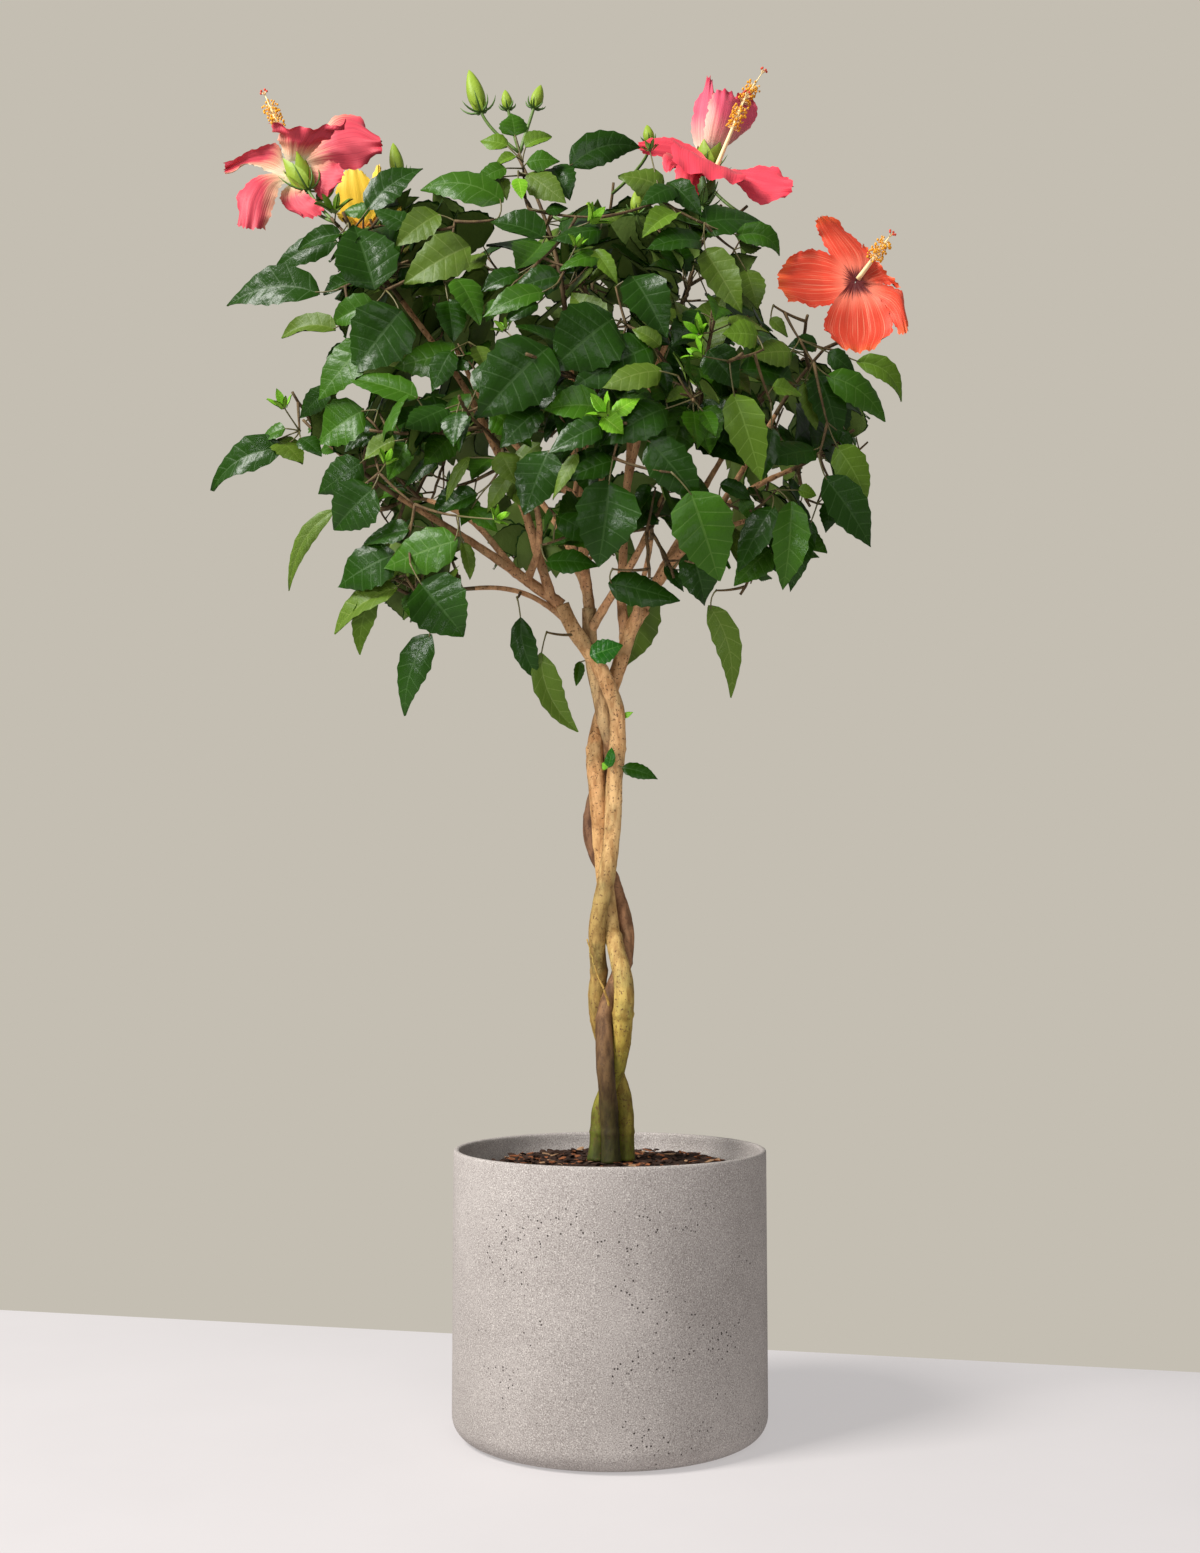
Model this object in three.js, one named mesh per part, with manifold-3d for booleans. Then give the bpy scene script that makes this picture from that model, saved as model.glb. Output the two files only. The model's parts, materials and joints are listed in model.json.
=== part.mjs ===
import * as THREE from 'three';
import { mergeVertices } from 'three/addons/utils/BufferGeometryUtils.js';
import Module from 'manifold-3d';

const wasm = await Module();
wasm.setup();

// A hibiscus trained as a small standard: three plaited stems in a round pot, opening into
// boughs that each carry one or more masses of twigs, leaves, blossom and buds.
// Millimetres, +Z up. The origin is the middle of the pot's flat underside, the front faces -Y.

// Clearance between two pieces that touch, and between a growing leaf and a limb.
const SEAT_GAP = 0.3;
const FACET_GAP = 0.05;
const LEAF_GAP = 1.2;

const POT = {
  radius: 157, height: 279, wall: 6, floor: 9, footRound: 21, innerRound: 16, sides: 32,
  roundSteps: [4, 2],
};
const SOIL = { top: 265.6, flatRadius: 104, edgeDrop: 21, shoulder: 0.62 };

// The stems of the plait swell a little at the foot and taper to the fork.
const STRAND = { footRadius: 8.7, forkRadius: 7.2, flare: 1.1, flareHeight: 32, sides: 8, rings: 25 };
const STRAND_GAP = 1.2;
// How often the plait is settled, and over how many rings up and down stems are compared.
const SETTLE = { passes: 200, rings: 3 };
const FOOT_HEIGHT = SOIL.top + SEAT_GAP;
const FORK_HEIGHT = 830;

// Where the stems cross each other on the way up: a height, then x and y of the stem that
// stands on the right of the soil, of the left one and of the middle one.
const PLAIT = [
  [FOOT_HEIGHT, [15, 2], [-13, 2], [2, -12]],
  [317, [15, 9], [-8, 5], [-1, -12]],
  [362, [2, 17], [7, -5], [-4, -18]],
  [412, [-12, 9], [13, -15], [-4, -11]],
  [459, [-11, -1], [11, -19], [12, -2]],
  [503, [-12, -12], [1, -1], [15, 8]],
  [547, [-4, -16], [-5, 1], [2, 17]],
  [590, [2, -14], [-9, 3], [-18, 17]],
  [631, [4, -13], [-12, -5], [-16, 12]],
  [653, [5, -13], [-13, -5], [-7, 13]],
  [675, [7, -14], [-14, 3], [3, 5]],
  [700, [8, -13], [-13, 11], [-2, -2]],
  [722, [7, -14], [-7, 16], [-6, -2]],
  [746, [-1, -14], [1, 15], [-11, 1]],
  [780, [-19, -11], [13, 10], [-18, 8]],
  [805, [-37, -12], [21, 8], [-21, 8]],
  [FORK_HEIGHT, [-49, -13], [34, 6], [-21, 6]],
];
const STRAND_NAMES = ['strand_right', 'strand_left', 'strand_middle'];

// Boughs. Each row: its parent limb and the fraction of that limb's length where it leaves,
// its compass heading in degrees, the reach and the rise that it covers, how far it bows
// upward and sways to its left at half way, and its radius at the root and at the tip.
const BOUGH_SIDES = 6;
const BOUGH_STEP = 58;
const BOUGH_TAPER = 0.8;
const BOUGH_FEWEST = 4;
const BOUGHS = {
  bough_far_left: ['strand_right', 1, -167, 169, 104, 3, -2, 6.4, 2.6],
  bough_diagonal: ['bough_far_left', 0.07, -151, 167, 283, 10, 20, 5.2, 2.5],
  bough_low_left: ['strand_right', 0.95, -170, 104, 41, 16, -2, 3.2, 2.2],
  bough_front_left: ['bough_far_left', 0.22, -92, 100, 89, -7, 17, 4.0, 2.4],
  bough_back_low_left: ['bough_far_left', 0.3, 135, 136, 97, 11, -2, 3.8, 2.4],
  bough_leader: ['strand_middle', 1, -127, 39, 298, -1, -1, 6.0, 2.8],
  bough_front: ['bough_leader', 0.12, -88, 127, 107, -23, -16, 4.4, 2.4],
  bough_back_left: ['bough_leader', 0.06, 128, 160, 188, -3, -17, 5.0, 2.6],
  bough_back: ['bough_leader', 0.2, 84, 166, 196, -23, -8, 4.6, 2.5],
  bough_upper_back_left: ['bough_leader', 0.38, 146, 165, 186, -22, -13, 4.0, 2.4],
  bough_front_right: ['strand_middle', 0.96, -49, 149, 170, -9, 0, 4.8, 2.6],
  bough_right: ['strand_left', 1, 1, 155, 147, 18, -8, 6.2, 2.6],
  bough_upright: ['strand_left', 0.93, 24, 50, 332, 13, 22, 5.6, 2.8],
  bough_upper_back: ['bough_upright', 0.45, 109, 81, 230, 2, -16, 4.0, 2.4],
  bough_orange: ['bough_right', 0.12, -15, 127, 171, -7, 2, 4.6, 2.4],
  bough_low_right: ['bough_right', 0.25, -40, 94, 31, 3, -7, 3.8, 2.4],
  bough_back_right: ['bough_right', 0.08, 54, 168, 210, -1, 0, 5.0, 2.5],
  bough_front_low: ['strand_left', 0.97, -81, 94, 69, -2, 0, 3.6, 2.2],
  bough_low_back: ['bough_back_left', 0.2, 75, 96, 44, -13, 3, 3.6, 2.2],
};

// Masses of foliage. Each grows on one bough's tip round a heart, inside an oval of three half
// sizes, and keeps to the points that lie nearer its own heart than any other. Each row: the
// bough, the heart, the half sizes, how many twigs, and the tip that the stem runs to where
// it goes on beyond the heart.
const MASSES = {
  foliage_far_left: ['bough_far_left', [-295, -50, 985], [112, 100, 82], 6, [-312, -45, 1015]],
  foliage_upper_left: ['bough_diagonal', [-257, -105, 1119], [118, 110, 120], 7, [-274, -80, 1205]],
  foliage_low_left: ['bough_low_left', [-205, -50, 835], [105, 95, 100], 4],
  foliage_front_left: ['bough_front_left', [-135, -165, 985], [115, 100, 115], 5],
  foliage_back_low_left: ['bough_back_low_left', [-245, 125, 962], [102, 110, 98], 5],
  foliage_leader: ['bough_leader', [-88, -45, 1205], [105, 105, 140], 7, [-96, -30, 1300]],
  foliage_front: ['bough_front', [-20, -190, 1015], [110, 95, 125], 6],
  foliage_back_left: ['bough_back_left', [-205, 200, 1090], [120, 115, 120], 5],
  foliage_back: ['bough_back', [-10, 240, 1150], [125, 110, 120], 6],
  foliage_upper_back_left:
    ['bough_upper_back_left', [-185, 60, 1200], [125, 120, 110], 6, [-245, 60, 1240]],
  foliage_front_right: ['bough_front_right', [90, -165, 1035], [115, 105, 120], 6],
  foliage_right: ['bough_right', [225, 15, 1000], [84, 110, 98], 5],
  foliage_upper_right: ['bough_upright', [85, -10, 1190], [120, 120, 115], 6, [98, 0, 1232]],
  foliage_upper_back: ['bough_upper_back', [-15, 130, 1265], [115, 110, 90], 5],
  foliage_orange: ['bough_orange', [200, -65, 1070], [100, 105, 105], 4, [219, -60, 1086]],
  foliage_low_right: ['bough_low_right', [160, -75, 885], [105, 100, 95], 4],
  foliage_back_right: ['bough_back_right', [174, 190, 1095], [120, 120, 125], 6],
  foliage_front_low: ['bough_front_low', [35, -135, 880], [105, 100, 90], 4],
  foliage_low_back: ['bough_low_back', [-20, 178, 948], [128, 110, 92], 5],
};

// Blossom. Each row: the mass that bears a bloom, its middle, the heading and lift in degrees
// that it faces, its radius, and its cup, which is how far the petals lift from flat.
const BLOOMS = [
  ['foliage_upper_left', [-308, -50, 1284], 120, 66, 84, -2],
  ['foliage_upper_back_left', [-268, 55, 1289], 120, 60, 52, 18],
  ['foliage_upper_right', [112, -20, 1288], -85, 83, 80, 0],
  ['foliage_upper_right', [110, 32, 1318], 20, 78, 78, 68],
  ['foliage_orange', [242, -75, 1147], -70, 8, 66, 12],
];
// Buds: the same, with a length at the end.
const BUDS = [
  ['foliage_leader', [-136, -30, 1362], 180, 70, 46],
  ['foliage_leader', [-107, -32, 1355], 180, 86, 26],
  ['foliage_leader', [-76, -28, 1360], 0, 74, 30],
  ['foliage_upper_back_left', [-221, 15, 1299], 0, 84, 36],
  ['foliage_upper_back', [43, 70, 1333], 0, 86, 24],
];

// Leaves that hang singly or show in full from the front: the mass that bears each, and where
// its blade starts and ends.
const SINGLE_LEAVES = [
  ['foliage_far_left', [-351, -60, 983], [-396, -70, 938]],
  ['foliage_far_left', [-289, -60, 916], [-320, -60, 839]],
  ['foliage_upper_left', [-282, -110, 1133], [-375, -120, 1108]],
  ['foliage_low_left', [-185, -60, 842], [-168, -75, 784]],
  ['foliage_low_left', [-186, -50, 788], [-199, -55, 711]],
  ['foliage_low_left', [-235, -40, 831], [-254, -45, 774]],
  ['foliage_low_right', [106, -60, 818], [118, -65, 738]],
  ['foliage_low_right', [186, -60, 916], [178, -70, 835]],
  ['foliage_right', [236, 10, 962], [266, 5, 893]],
  ['foliage_right', [236, 0, 1072], [303, -5, 1036]],
  ['foliage_front_left', [-108, -140, 925], [-90, -155, 846]],
  ['foliage_front_low', [-4, -115, 939], [-14, -150, 849]],
  ['foliage_front_low', [99, -125, 922], [103, -150, 833]],
  ['foliage_upper_back_left', [-126, -30, 1200], [-203, -38, 1159]],
  ['foliage_leader', [-107, -60, 1233], [-174, -68, 1242]],
  ['foliage_upper_back_left', [-255, 20, 1263], [-195, 12, 1286]],
  ['foliage_leader', [-41, -20, 1299], [28, -28, 1311]],
  ['foliage_upper_left', [-216, -140, 1122], [-264, -148, 1172]],
  ['foliage_front', [27, -205, 1035], [-51, -213, 1053]],
  ['foliage_front', [-58, -215, 1033], [-118, -223, 967]],
  ['foliage_front_right', [29, -200, 936], [81, -208, 892]],
  ['foliage_leader', [-70, -90, 1135], [-141, -98, 1099]],
  ['foliage_upper_back_left', [-177, -50, 1143], [-215, -58, 1071]],
  ['foliage_upper_left', [-251, -150, 1074], [-194, -158, 1026]],
];

// Sprigs low on the trunk and at the fork. Each row: the stem, how far up it, the sprig's
// heading in degrees and its reach, then the heading, dip and length of each leaf.
const SPRIGS = {
  sprig_fork: ['strand_middle', 0.95, -80, 14, [[-130, 55, 30], [-50, 50, 30]]],
  sprig_fork_back: ['strand_left', 0.97, 70, 20, [[60, 60, 44], [120, 40, 40]]],
  sprig_hanging: ['strand_right', 0.9, 190, 56, [[200, 55, 46], [-50, 64, 86]]],
  sprig_trunk: ['strand_right', 0.68, -76, 14, [[4, 16, 38], [-170, -60, 20]]],
};
// A sprig's shoot: its lift in degrees and its radii. Its leaves: how far ahead of the shoot the
// blade starts and how far back in it the stalk does, and the elbow's share and rise.
const SPRIG = { lift: 10, radii: [1.7, 1.4], leafAhead: 9, sunk: 1.5, elbow: 0.3, rise: 2 };
// A bloom. Rings behind the petals as distances and reaches: the stalk's end, the calyx and the
// neck. The throat, and the column as shares of the radius with its reaches. The rim of one
// petal: shares of its turn with the reach for each, how the rim curls, and its thickness.
const PETALS = 5;
const BLOOM = {
  stalkEnd: [-22, 1.8], calyx: [-9, 6.5], neck: 3, throat: 2.4, column: [[0.72, 4], [1.08, 1.2]],
  rim: [[0, 0.42], [0.2, 0.92], [0.5, 1.03], [0.8, 0.92]], curl: 0.2, thick: 5, base: -20,
};
// A closed bud: its foot, belly, tip and base as shares of the length, and the radii of the first
// three, the belly's as a share of the length too.
const BUD_SHAPE = { foot: -0.5, belly: -0.12, tip: 0.5, radii: [1.8, 0.2, 0.6], base: -0.46, sides: 4 };
// Stalks of flowers: where they leave the stem, how far they bow, and their radii past the root.
const FLOWER_STALK = { from: 0.97, bow: 8, radii: [1.6, 1.5], steps: 2 };
const SEED = 4127;
const SEED_STEP = 97;
const CROWN_HEART = new THREE.Vector3(-15, 0, 1010);

// Stems bend by this share of their length where they go on from a bough.
const STEM_BEND = 0.45;
const STEM_STEPS = 3;
// Twigs: radii where one is sunk in its stem, past its collar and at its tip.
const TWIG = {
  sides: 3, sunk: 0.8, collar: 6, root: 2.1, tip: 1.9, spurTip: 1.5, longest: 140, shortest: 15,
  // The shares of the stem where the lowest and the highest leave it, and the angles in
  // degrees at which they do, with some play.
  lowest: 0.2, highest: 0.98, widest: 96, narrowest: 38, play: 12, stray: 0.3,
  // The room kept free beyond a twig's tip, how deep it stays in its space, the step in which
  // it feels for the border, and the distance from leaf to leaf.
  margin: 26, clearOfBorder: 4, feeler: 6, leafStep: 26,
};
// Lengths of blade and stalk, the stalk's half width and its depth over that, and the play of the
// width. The outline gives the blade's half widths at shares of its length.
const LEAF = {
  shortest: 82, longest: 114, widthRatio: 0.8, outline: [[0.4, 0.5]], fold: 0.1, rib: 1.3,
  stalkShortest: 14, stalkLongest: 28, stalkHalf: 0.62, stalkDeep: 1.6, play: [0.9, 1.1],
};
// A leaf placed singly: also how far back its stalk and its spur end, its elbow as a share of the
// length, its rise there, how far it turns to the front, and where on the stem spurs may start.
const SINGLE_LEAF = {
  widthRatio: 0.72, outline: [[0.33, 0.5], [0.74, 0.34]], stalk: 8, spurEnd: 5, elbow: 0.3,
  rise: 0.06, frontward: 0.7, bearers: 8,
};
// Where leaves stand: the first and the last of a twig, with the size of the one at its end,
// and those on the stem.
const BUD = { first: 0.8, last: 0.95, endSize: 0.75, onStem: [0.6, 0.95] };
// How a leaf hangs: its stalk's shares aside and along the twig, the pull outward, the droop,
// and how far its upper face turns in radians and lifts to the sky.
const HANG = {
  aside: 0.85, along: 0.5, out: 0.5, droop: [0.3, 1.1], faceTurn: 1, faceLift: [0.1, 0.75],
  skyward: 0.7, stiff: 0.4, elbow: 0.3,
};
// How far a leaf may lean over the border of its mass's space, where it finds room there.
const LEAF_LEAN = 26;
const LEAF_TRIES = 9;
const LEAF_SHRINK = 0.04;
// Leaves stand in three ranks, each on one side of the three-sided twig.
const TURN = THREE.MathUtils.degToRad(120);
const FIRST_TURN = THREE.MathUtils.degToRad(60);
const UP = new THREE.Vector3(0, 0, 1);
const FRONT = new THREE.Vector3(0, -1, 0);

// Solids from rings of points

// A closed solid lofted through rings with the same number of points. The last ring may be
// a single point, which closes the solid in a tip.
function loft(rings) {
  const sides = rings[0].length;
  const corners = rings.flat();
  const faces = [];
  for (let k = 2; k < sides; k += 1) {
    faces.push(0, k, k - 1);
  }
  for (let i = 0; i + 1 < rings.length; i += 1) {
    const start = i * sides;
    const next = start + sides;
    const toTip = rings[i + 1].length === 1;
    for (let k = 0; k < sides; k += 1) {
      const l = (k + 1) % sides;
      if (toTip) {
        faces.push(start + k, start + l, next);
      } else {
        faces.push(start + k, start + l, next + l);
        faces.push(start + k, next + l, next + k);
      }
    }
  }
  if (rings.at(-1).length > 1) {
    const last = corners.length - sides;
    for (let k = 2; k < sides; k += 1) {
      faces.push(last, last + k - 1, last + k);
    }
  }
  const places = corners.flatMap((corner) => corner.toArray());
  return solidFrom(places, faces);
}

function solidFrom(places, faces) {
  return new wasm.Manifold(new wasm.Mesh({
    numProp: 3,
    vertProperties: new Float32Array(places),
    triVerts: new Uint32Array(faces),
  }));
}

function solidFromGeometry(geometry) {
  geometry.deleteAttribute('normal');
  geometry.deleteAttribute('uv');
  const merged = mergeVertices(geometry, 0.001);
  return solidFrom(merged.attributes.position.array, merged.index.array);
}

function geometryFrom(solid) {
  const mesh = solid.getMesh();
  const geometry = new THREE.BufferGeometry();
  geometry.setAttribute('position', new THREE.BufferAttribute(mesh.vertProperties, 3));
  geometry.setIndex(new THREE.BufferAttribute(mesh.triVerts, 1));
  geometry.computeVertexNormals();
  return geometry;
}

// The largest of the separate bodies left after a cut.
function largestBody(solid) {
  const bodies = solid.decompose();
  bodies.sort((a, b) => b.volume() - a.volume());
  return bodies[0];
}

// A ring of points round a centre, square to a direction, counted from a side direction.
function ringAround(centre, along, aside, radius, sides) {
  const across = new THREE.Vector3().crossVectors(along, aside).normalize();
  const points = [];
  for (let k = 0; k < sides; k += 1) {
    const angle = (2 * Math.PI * k) / sides;
    points.push(centre.clone()
      .addScaledVector(aside, radius * Math.cos(angle))
      .addScaledVector(across, radius * Math.sin(angle)));
  }
  return points;
}

function anySideOf(along) {
  const helper = Math.abs(along.y) < 0.8 ? new THREE.Vector3(0, 1, 0) : new THREE.Vector3(1, 0, 0);
  return helper.addScaledVector(along, -helper.dot(along)).normalize();
}

// A tapering tube through points. Its sides don't twist, and its first end face is square
// to a given direction where one is passed.
function tube(points, radii, sides, startAlong) {
  const rings = [];
  let aside = null;
  points.forEach((point, i) => {
    const before = points[Math.max(0, i - 1)];
    const after = points[Math.min(points.length - 1, i + 1)];
    const along = i === 0 && startAlong ? startAlong.clone() : after.clone().sub(before).normalize();
    aside = aside ? aside.addScaledVector(along, -aside.dot(along)).normalize() : anySideOf(along);
    rings.push(ringAround(point, along, aside, radii[i], sides));
  });
  return loft(rings);
}

// Random numbers that come out the same each time for the same seed
function seeded(seed) {
  let state = seed % 2147483647;
  return (low, high) => {
    state = (state * 48271) % 2147483647;
    return low + (high - low) * (state / 2147483647);
  };
}

// Pot and soil

function lathe(profile, sides) {
  const geometry = new THREE.LatheGeometry(profile.map(([r, z]) => new THREE.Vector2(r, z)), sides);
  geometry.rotateX(Math.PI / 2);
  return solidFromGeometry(geometry);
}

function quarterRound(centreR, centreZ, radius, steps) {
  const points = [];
  for (let i = 0; i <= steps; i += 1) {
    const angle = (Math.PI / 2) * (i / steps);
    points.push([centreR + radius * Math.sin(angle), centreZ - radius * Math.cos(angle)]);
  }
  return points;
}

function makePot() {
  const inner = POT.radius - POT.wall;
  const [outerSteps, innerSteps] = POT.roundSteps;
  const outside = quarterRound(POT.radius - POT.footRound, POT.footRound, POT.footRound, outerSteps);
  const inside = quarterRound(
    inner - POT.innerRound, POT.floor + POT.innerRound, POT.innerRound, innerSteps,
  );
  return lathe([
    [0, 0],
    ...outside,
    [POT.radius, POT.height],
    [inner, POT.height],
    ...inside.reverse(),
    [0, POT.floor],
  ], POT.sides);
}

function makeSoil() {
  const outer = POT.radius - POT.wall - SEAT_GAP - FACET_GAP;
  const floor = POT.floor + SEAT_GAP;
  const edge = SOIL.top - SOIL.edgeDrop;
  const foot = quarterRound(outer - POT.innerRound, floor + POT.innerRound, POT.innerRound, 1);
  return lathe([
    [0, floor],
    ...foot,
    [outer, edge],
    [(outer + SOIL.flatRadius) / 2, edge + SOIL.edgeDrop * SOIL.shoulder],
    [SOIL.flatRadius, SOIL.top],
    [0, SOIL.top],
  ], POT.sides);
}

// Plaited trunk

function strandRadius(height) {
  const up = (height - FOOT_HEIGHT) / (FORK_HEIGHT - FOOT_HEIGHT);
  const flare = STRAND.flare * Math.max(0, 1 - (height - FOOT_HEIGHT) / STRAND.flareHeight) ** 2;
  return THREE.MathUtils.lerp(STRAND.footRadius, STRAND.forkRadius, up) + flare;
}

// Evenly spaced points up one stem, on a smooth curve through its places in the plait.
function strandPoints(which) {
  const places = PLAIT.map((level) => new THREE.Vector3(...level[which + 1], level[0]));
  const curve = new THREE.CatmullRomCurve3(places);
  const points = curve.getSpacedPoints(STRAND.rings - 1);
  points[0].z = FOOT_HEIGHT;
  return points;
}

// Stems that would cut into each other are pushed apart sideways until they just clear.
function settlePlait(strands) {
  const pairs = [[0, 1], [0, 2], [1, 2]];
  const piece = new THREE.Line3();
  const nearest = new THREE.Vector3();
  for (let pass = 0; pass < SETTLE.passes; pass += 1) {
    for (const [a, b] of pairs) {
      for (const [mine, other] of [[strands[a], strands[b]], [strands[b], strands[a]]]) {
        mine.forEach((point, i) => {
          const end = Math.min(other.length - 1, i + SETTLE.rings);
          for (let j = Math.max(0, i - SETTLE.rings); j < end; j += 1) {
            piece.set(other[j], other[j + 1]);
            piece.closestPointToPoint(point, true, nearest);
            const need = strandRadius(point.z) + strandRadius(nearest.z) + STRAND_GAP;
            const away = point.clone().sub(nearest);
            const lack = need - away.length();
            if (lack > 0) {
              away.setZ(0).normalize();
              point.addScaledVector(away, lack * 0.5);
              other[j].addScaledVector(away, -lack * 0.25);
              other[j + 1].addScaledVector(away, -lack * 0.25);
            }
          }
        });
      }
    }
  }
}

// Limbs are kept by name with the points of their middle line, their radii and their solid.
const limbs = {};

function addLimb(name, points, radii, sides, seated, startAlong) {
  const limb = { name, points, radii };
  limb.solid = tube(points, radii, sides, startAlong);
  if (seated) {
    for (const earlier of Object.values(limbs)) {
      limb.solid = limb.solid.subtract(earlier.grown);
    }
    limb.solid = largestBody(limb.solid);
  }
  const thicker = (gap) => tube(
    lengthened(points, gap), radii.map((radius) => radius + gap), sides, startAlong,
  );
  limb.grown = thicker(SEAT_GAP + FACET_GAP);
  limb.guard = thicker(LEAF_GAP);
  limbs[name] = limb;
}

// The same points with both ends moved out by a distance.
function lengthened(points, distance) {
  const longer = points.map((point) => point.clone());
  const first = points[0].clone().sub(points[1]).normalize();
  const last = points.at(-1).clone().sub(points.at(-2)).normalize();
  longer[0].addScaledVector(first, distance);
  longer.at(-1).addScaledVector(last, distance);
  return longer;
}

function makeStrands() {
  const strands = STRAND_NAMES.map((_, which) => strandPoints(which));
  settlePlait(strands);
  strands.forEach((points, which) => {
    const radii = points.map((point) => strandRadius(point.z));
    addLimb(STRAND_NAMES[which], points, radii, STRAND.sides, false, UP);
  });
}

// A limb's place and direction at a fraction of its length.
function alongLimb(limb, fraction) {
  const last = limb.points.length - 1;
  const i = Math.min(last - 1, Math.floor(fraction * last));
  const share = fraction * last - i;
  return {
    place: limb.points[i].clone().lerp(limb.points[i + 1], share),
    along: limb.points[i + 1].clone().sub(limb.points[i]).normalize(),
  };
}

// Boughs

function makeBough(name, [from, at, headingDegrees, reach, rise, bow, sway, radius, tip]) {
  const { place, along } = alongLimb(limbs[from], at);
  const heading = THREE.MathUtils.degToRad(headingDegrees);
  const forward = new THREE.Vector3(Math.cos(heading), Math.sin(heading), 0);
  const left = new THREE.Vector3(-forward.y, forward.x, 0);
  const chord = forward.clone().multiplyScalar(reach).addScaledVector(UP, rise);
  const over = new THREE.Vector3().crossVectors(chord, left).normalize();
  const carriesOn = at === 1;
  const start = carriesOn ? place.addScaledVector(along, SEAT_GAP + FACET_GAP) : place;
  const steps = Math.max(BOUGH_FEWEST, Math.round(chord.length() / BOUGH_STEP));
  const points = [];
  const radii = [];
  for (let i = 0; i <= steps; i += 1) {
    const t = i / steps;
    const hump = 4 * t * (1 - t);
    points.push(start.clone()
      .addScaledVector(chord, t)
      .addScaledVector(over, bow * hump)
      .addScaledVector(left, sway * hump));
    radii.push(THREE.MathUtils.lerp(radius, tip, t ** BOUGH_TAPER));
  }
  addLimb(name, points, radii, BOUGH_SIDES, true, carriesOn ? along : null);
}

// Spaces of the masses

const spaces = Object.entries(MASSES).map(([name, [bough, heart, half, twigs, tip]]) => ({
  name,
  bough,
  twigs,
  heart: new THREE.Vector3(...heart),
  half: new THREE.Vector3(...half),
  tip: new THREE.Vector3(...(tip ?? heart)),
}));

// How deep a point lies inside a mass's own space, less than 0 when it is outside. A lean
// moves the borders with the neighbours out.
function depthInside(space, point, lean) {
  const offset = point.clone().sub(space.heart);
  let depth = (1 - offset.clone().divide(space.half).length()) * space.half.x;
  for (const other of spaces) {
    if (other !== space) {
      const between = other.heart.clone().sub(space.heart);
      const distance = between.length();
      depth = Math.min(depth, distance / 2 + lean - offset.dot(between) / distance);
    }
  }
  return depth;
}

// Everything grown so far, with its owner and its box, so that new growth keeps clear.
const grown = [];

function claim(owner, solid) {
  const { min, max } = solid.boundingBox();
  grown.push({ owner, solid, box: new THREE.Box3(new THREE.Vector3(...min), new THREE.Vector3(...max)) });
}

function meetsAny(things, solid) {
  const { min, max } = solid.boundingBox();
  const box = new THREE.Box3(new THREE.Vector3(...min), new THREE.Vector3(...max));
  return things.some((thing) => thing.box.intersectsBox(box) && !thing.solid.intersect(solid).isEmpty());
}

function meetsOther(owner, solid) {
  return meetsAny(grown.filter((thing) => thing.owner !== owner), solid);
}

// Leaves

// Rings of one leaf: the root and the end of its straight stalk, then the hanging blade, and
// the tip. Fat rings, for finding room, are larger all round.
function leafRings({ root, foot, elbow, tip }, face, width, fat, outline = LEAF.outline) {
  const curve = new THREE.QuadraticBezierCurve3(foot, elbow, tip);
  const ring = (centre, along, halfWidth, lift) => {
    const upper = face.clone().addScaledVector(along, -face.dot(along)).normalize();
    const across = new THREE.Vector3().crossVectors(upper, along);
    return [
      centre.clone().addScaledVector(across, halfWidth + fat).addScaledVector(upper, lift / 2 + fat),
      centre.clone().addScaledVector(across, -halfWidth - fat).addScaledVector(upper, lift / 2 + fat),
      centre.clone().addScaledVector(upper, -lift / 2 - fat),
    ];
  };
  const bladeRing = (share, halfWidth) => ring(
    curve.getPoint(share), curve.getTangent(share), halfWidth, Math.max(LEAF.rib, halfWidth * LEAF.fold),
  );
  const stalk = foot.clone().sub(root).normalize();
  return [
    ring(root, stalk, LEAF.stalkHalf, LEAF.stalkHalf * LEAF.stalkDeep),
    ring(foot, stalk, LEAF.stalkHalf, LEAF.stalkHalf * LEAF.stalkDeep),
    ...outline.map(([share, half]) => bladeRing(share, width * half)),
    [tip],
  ];
}

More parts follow.
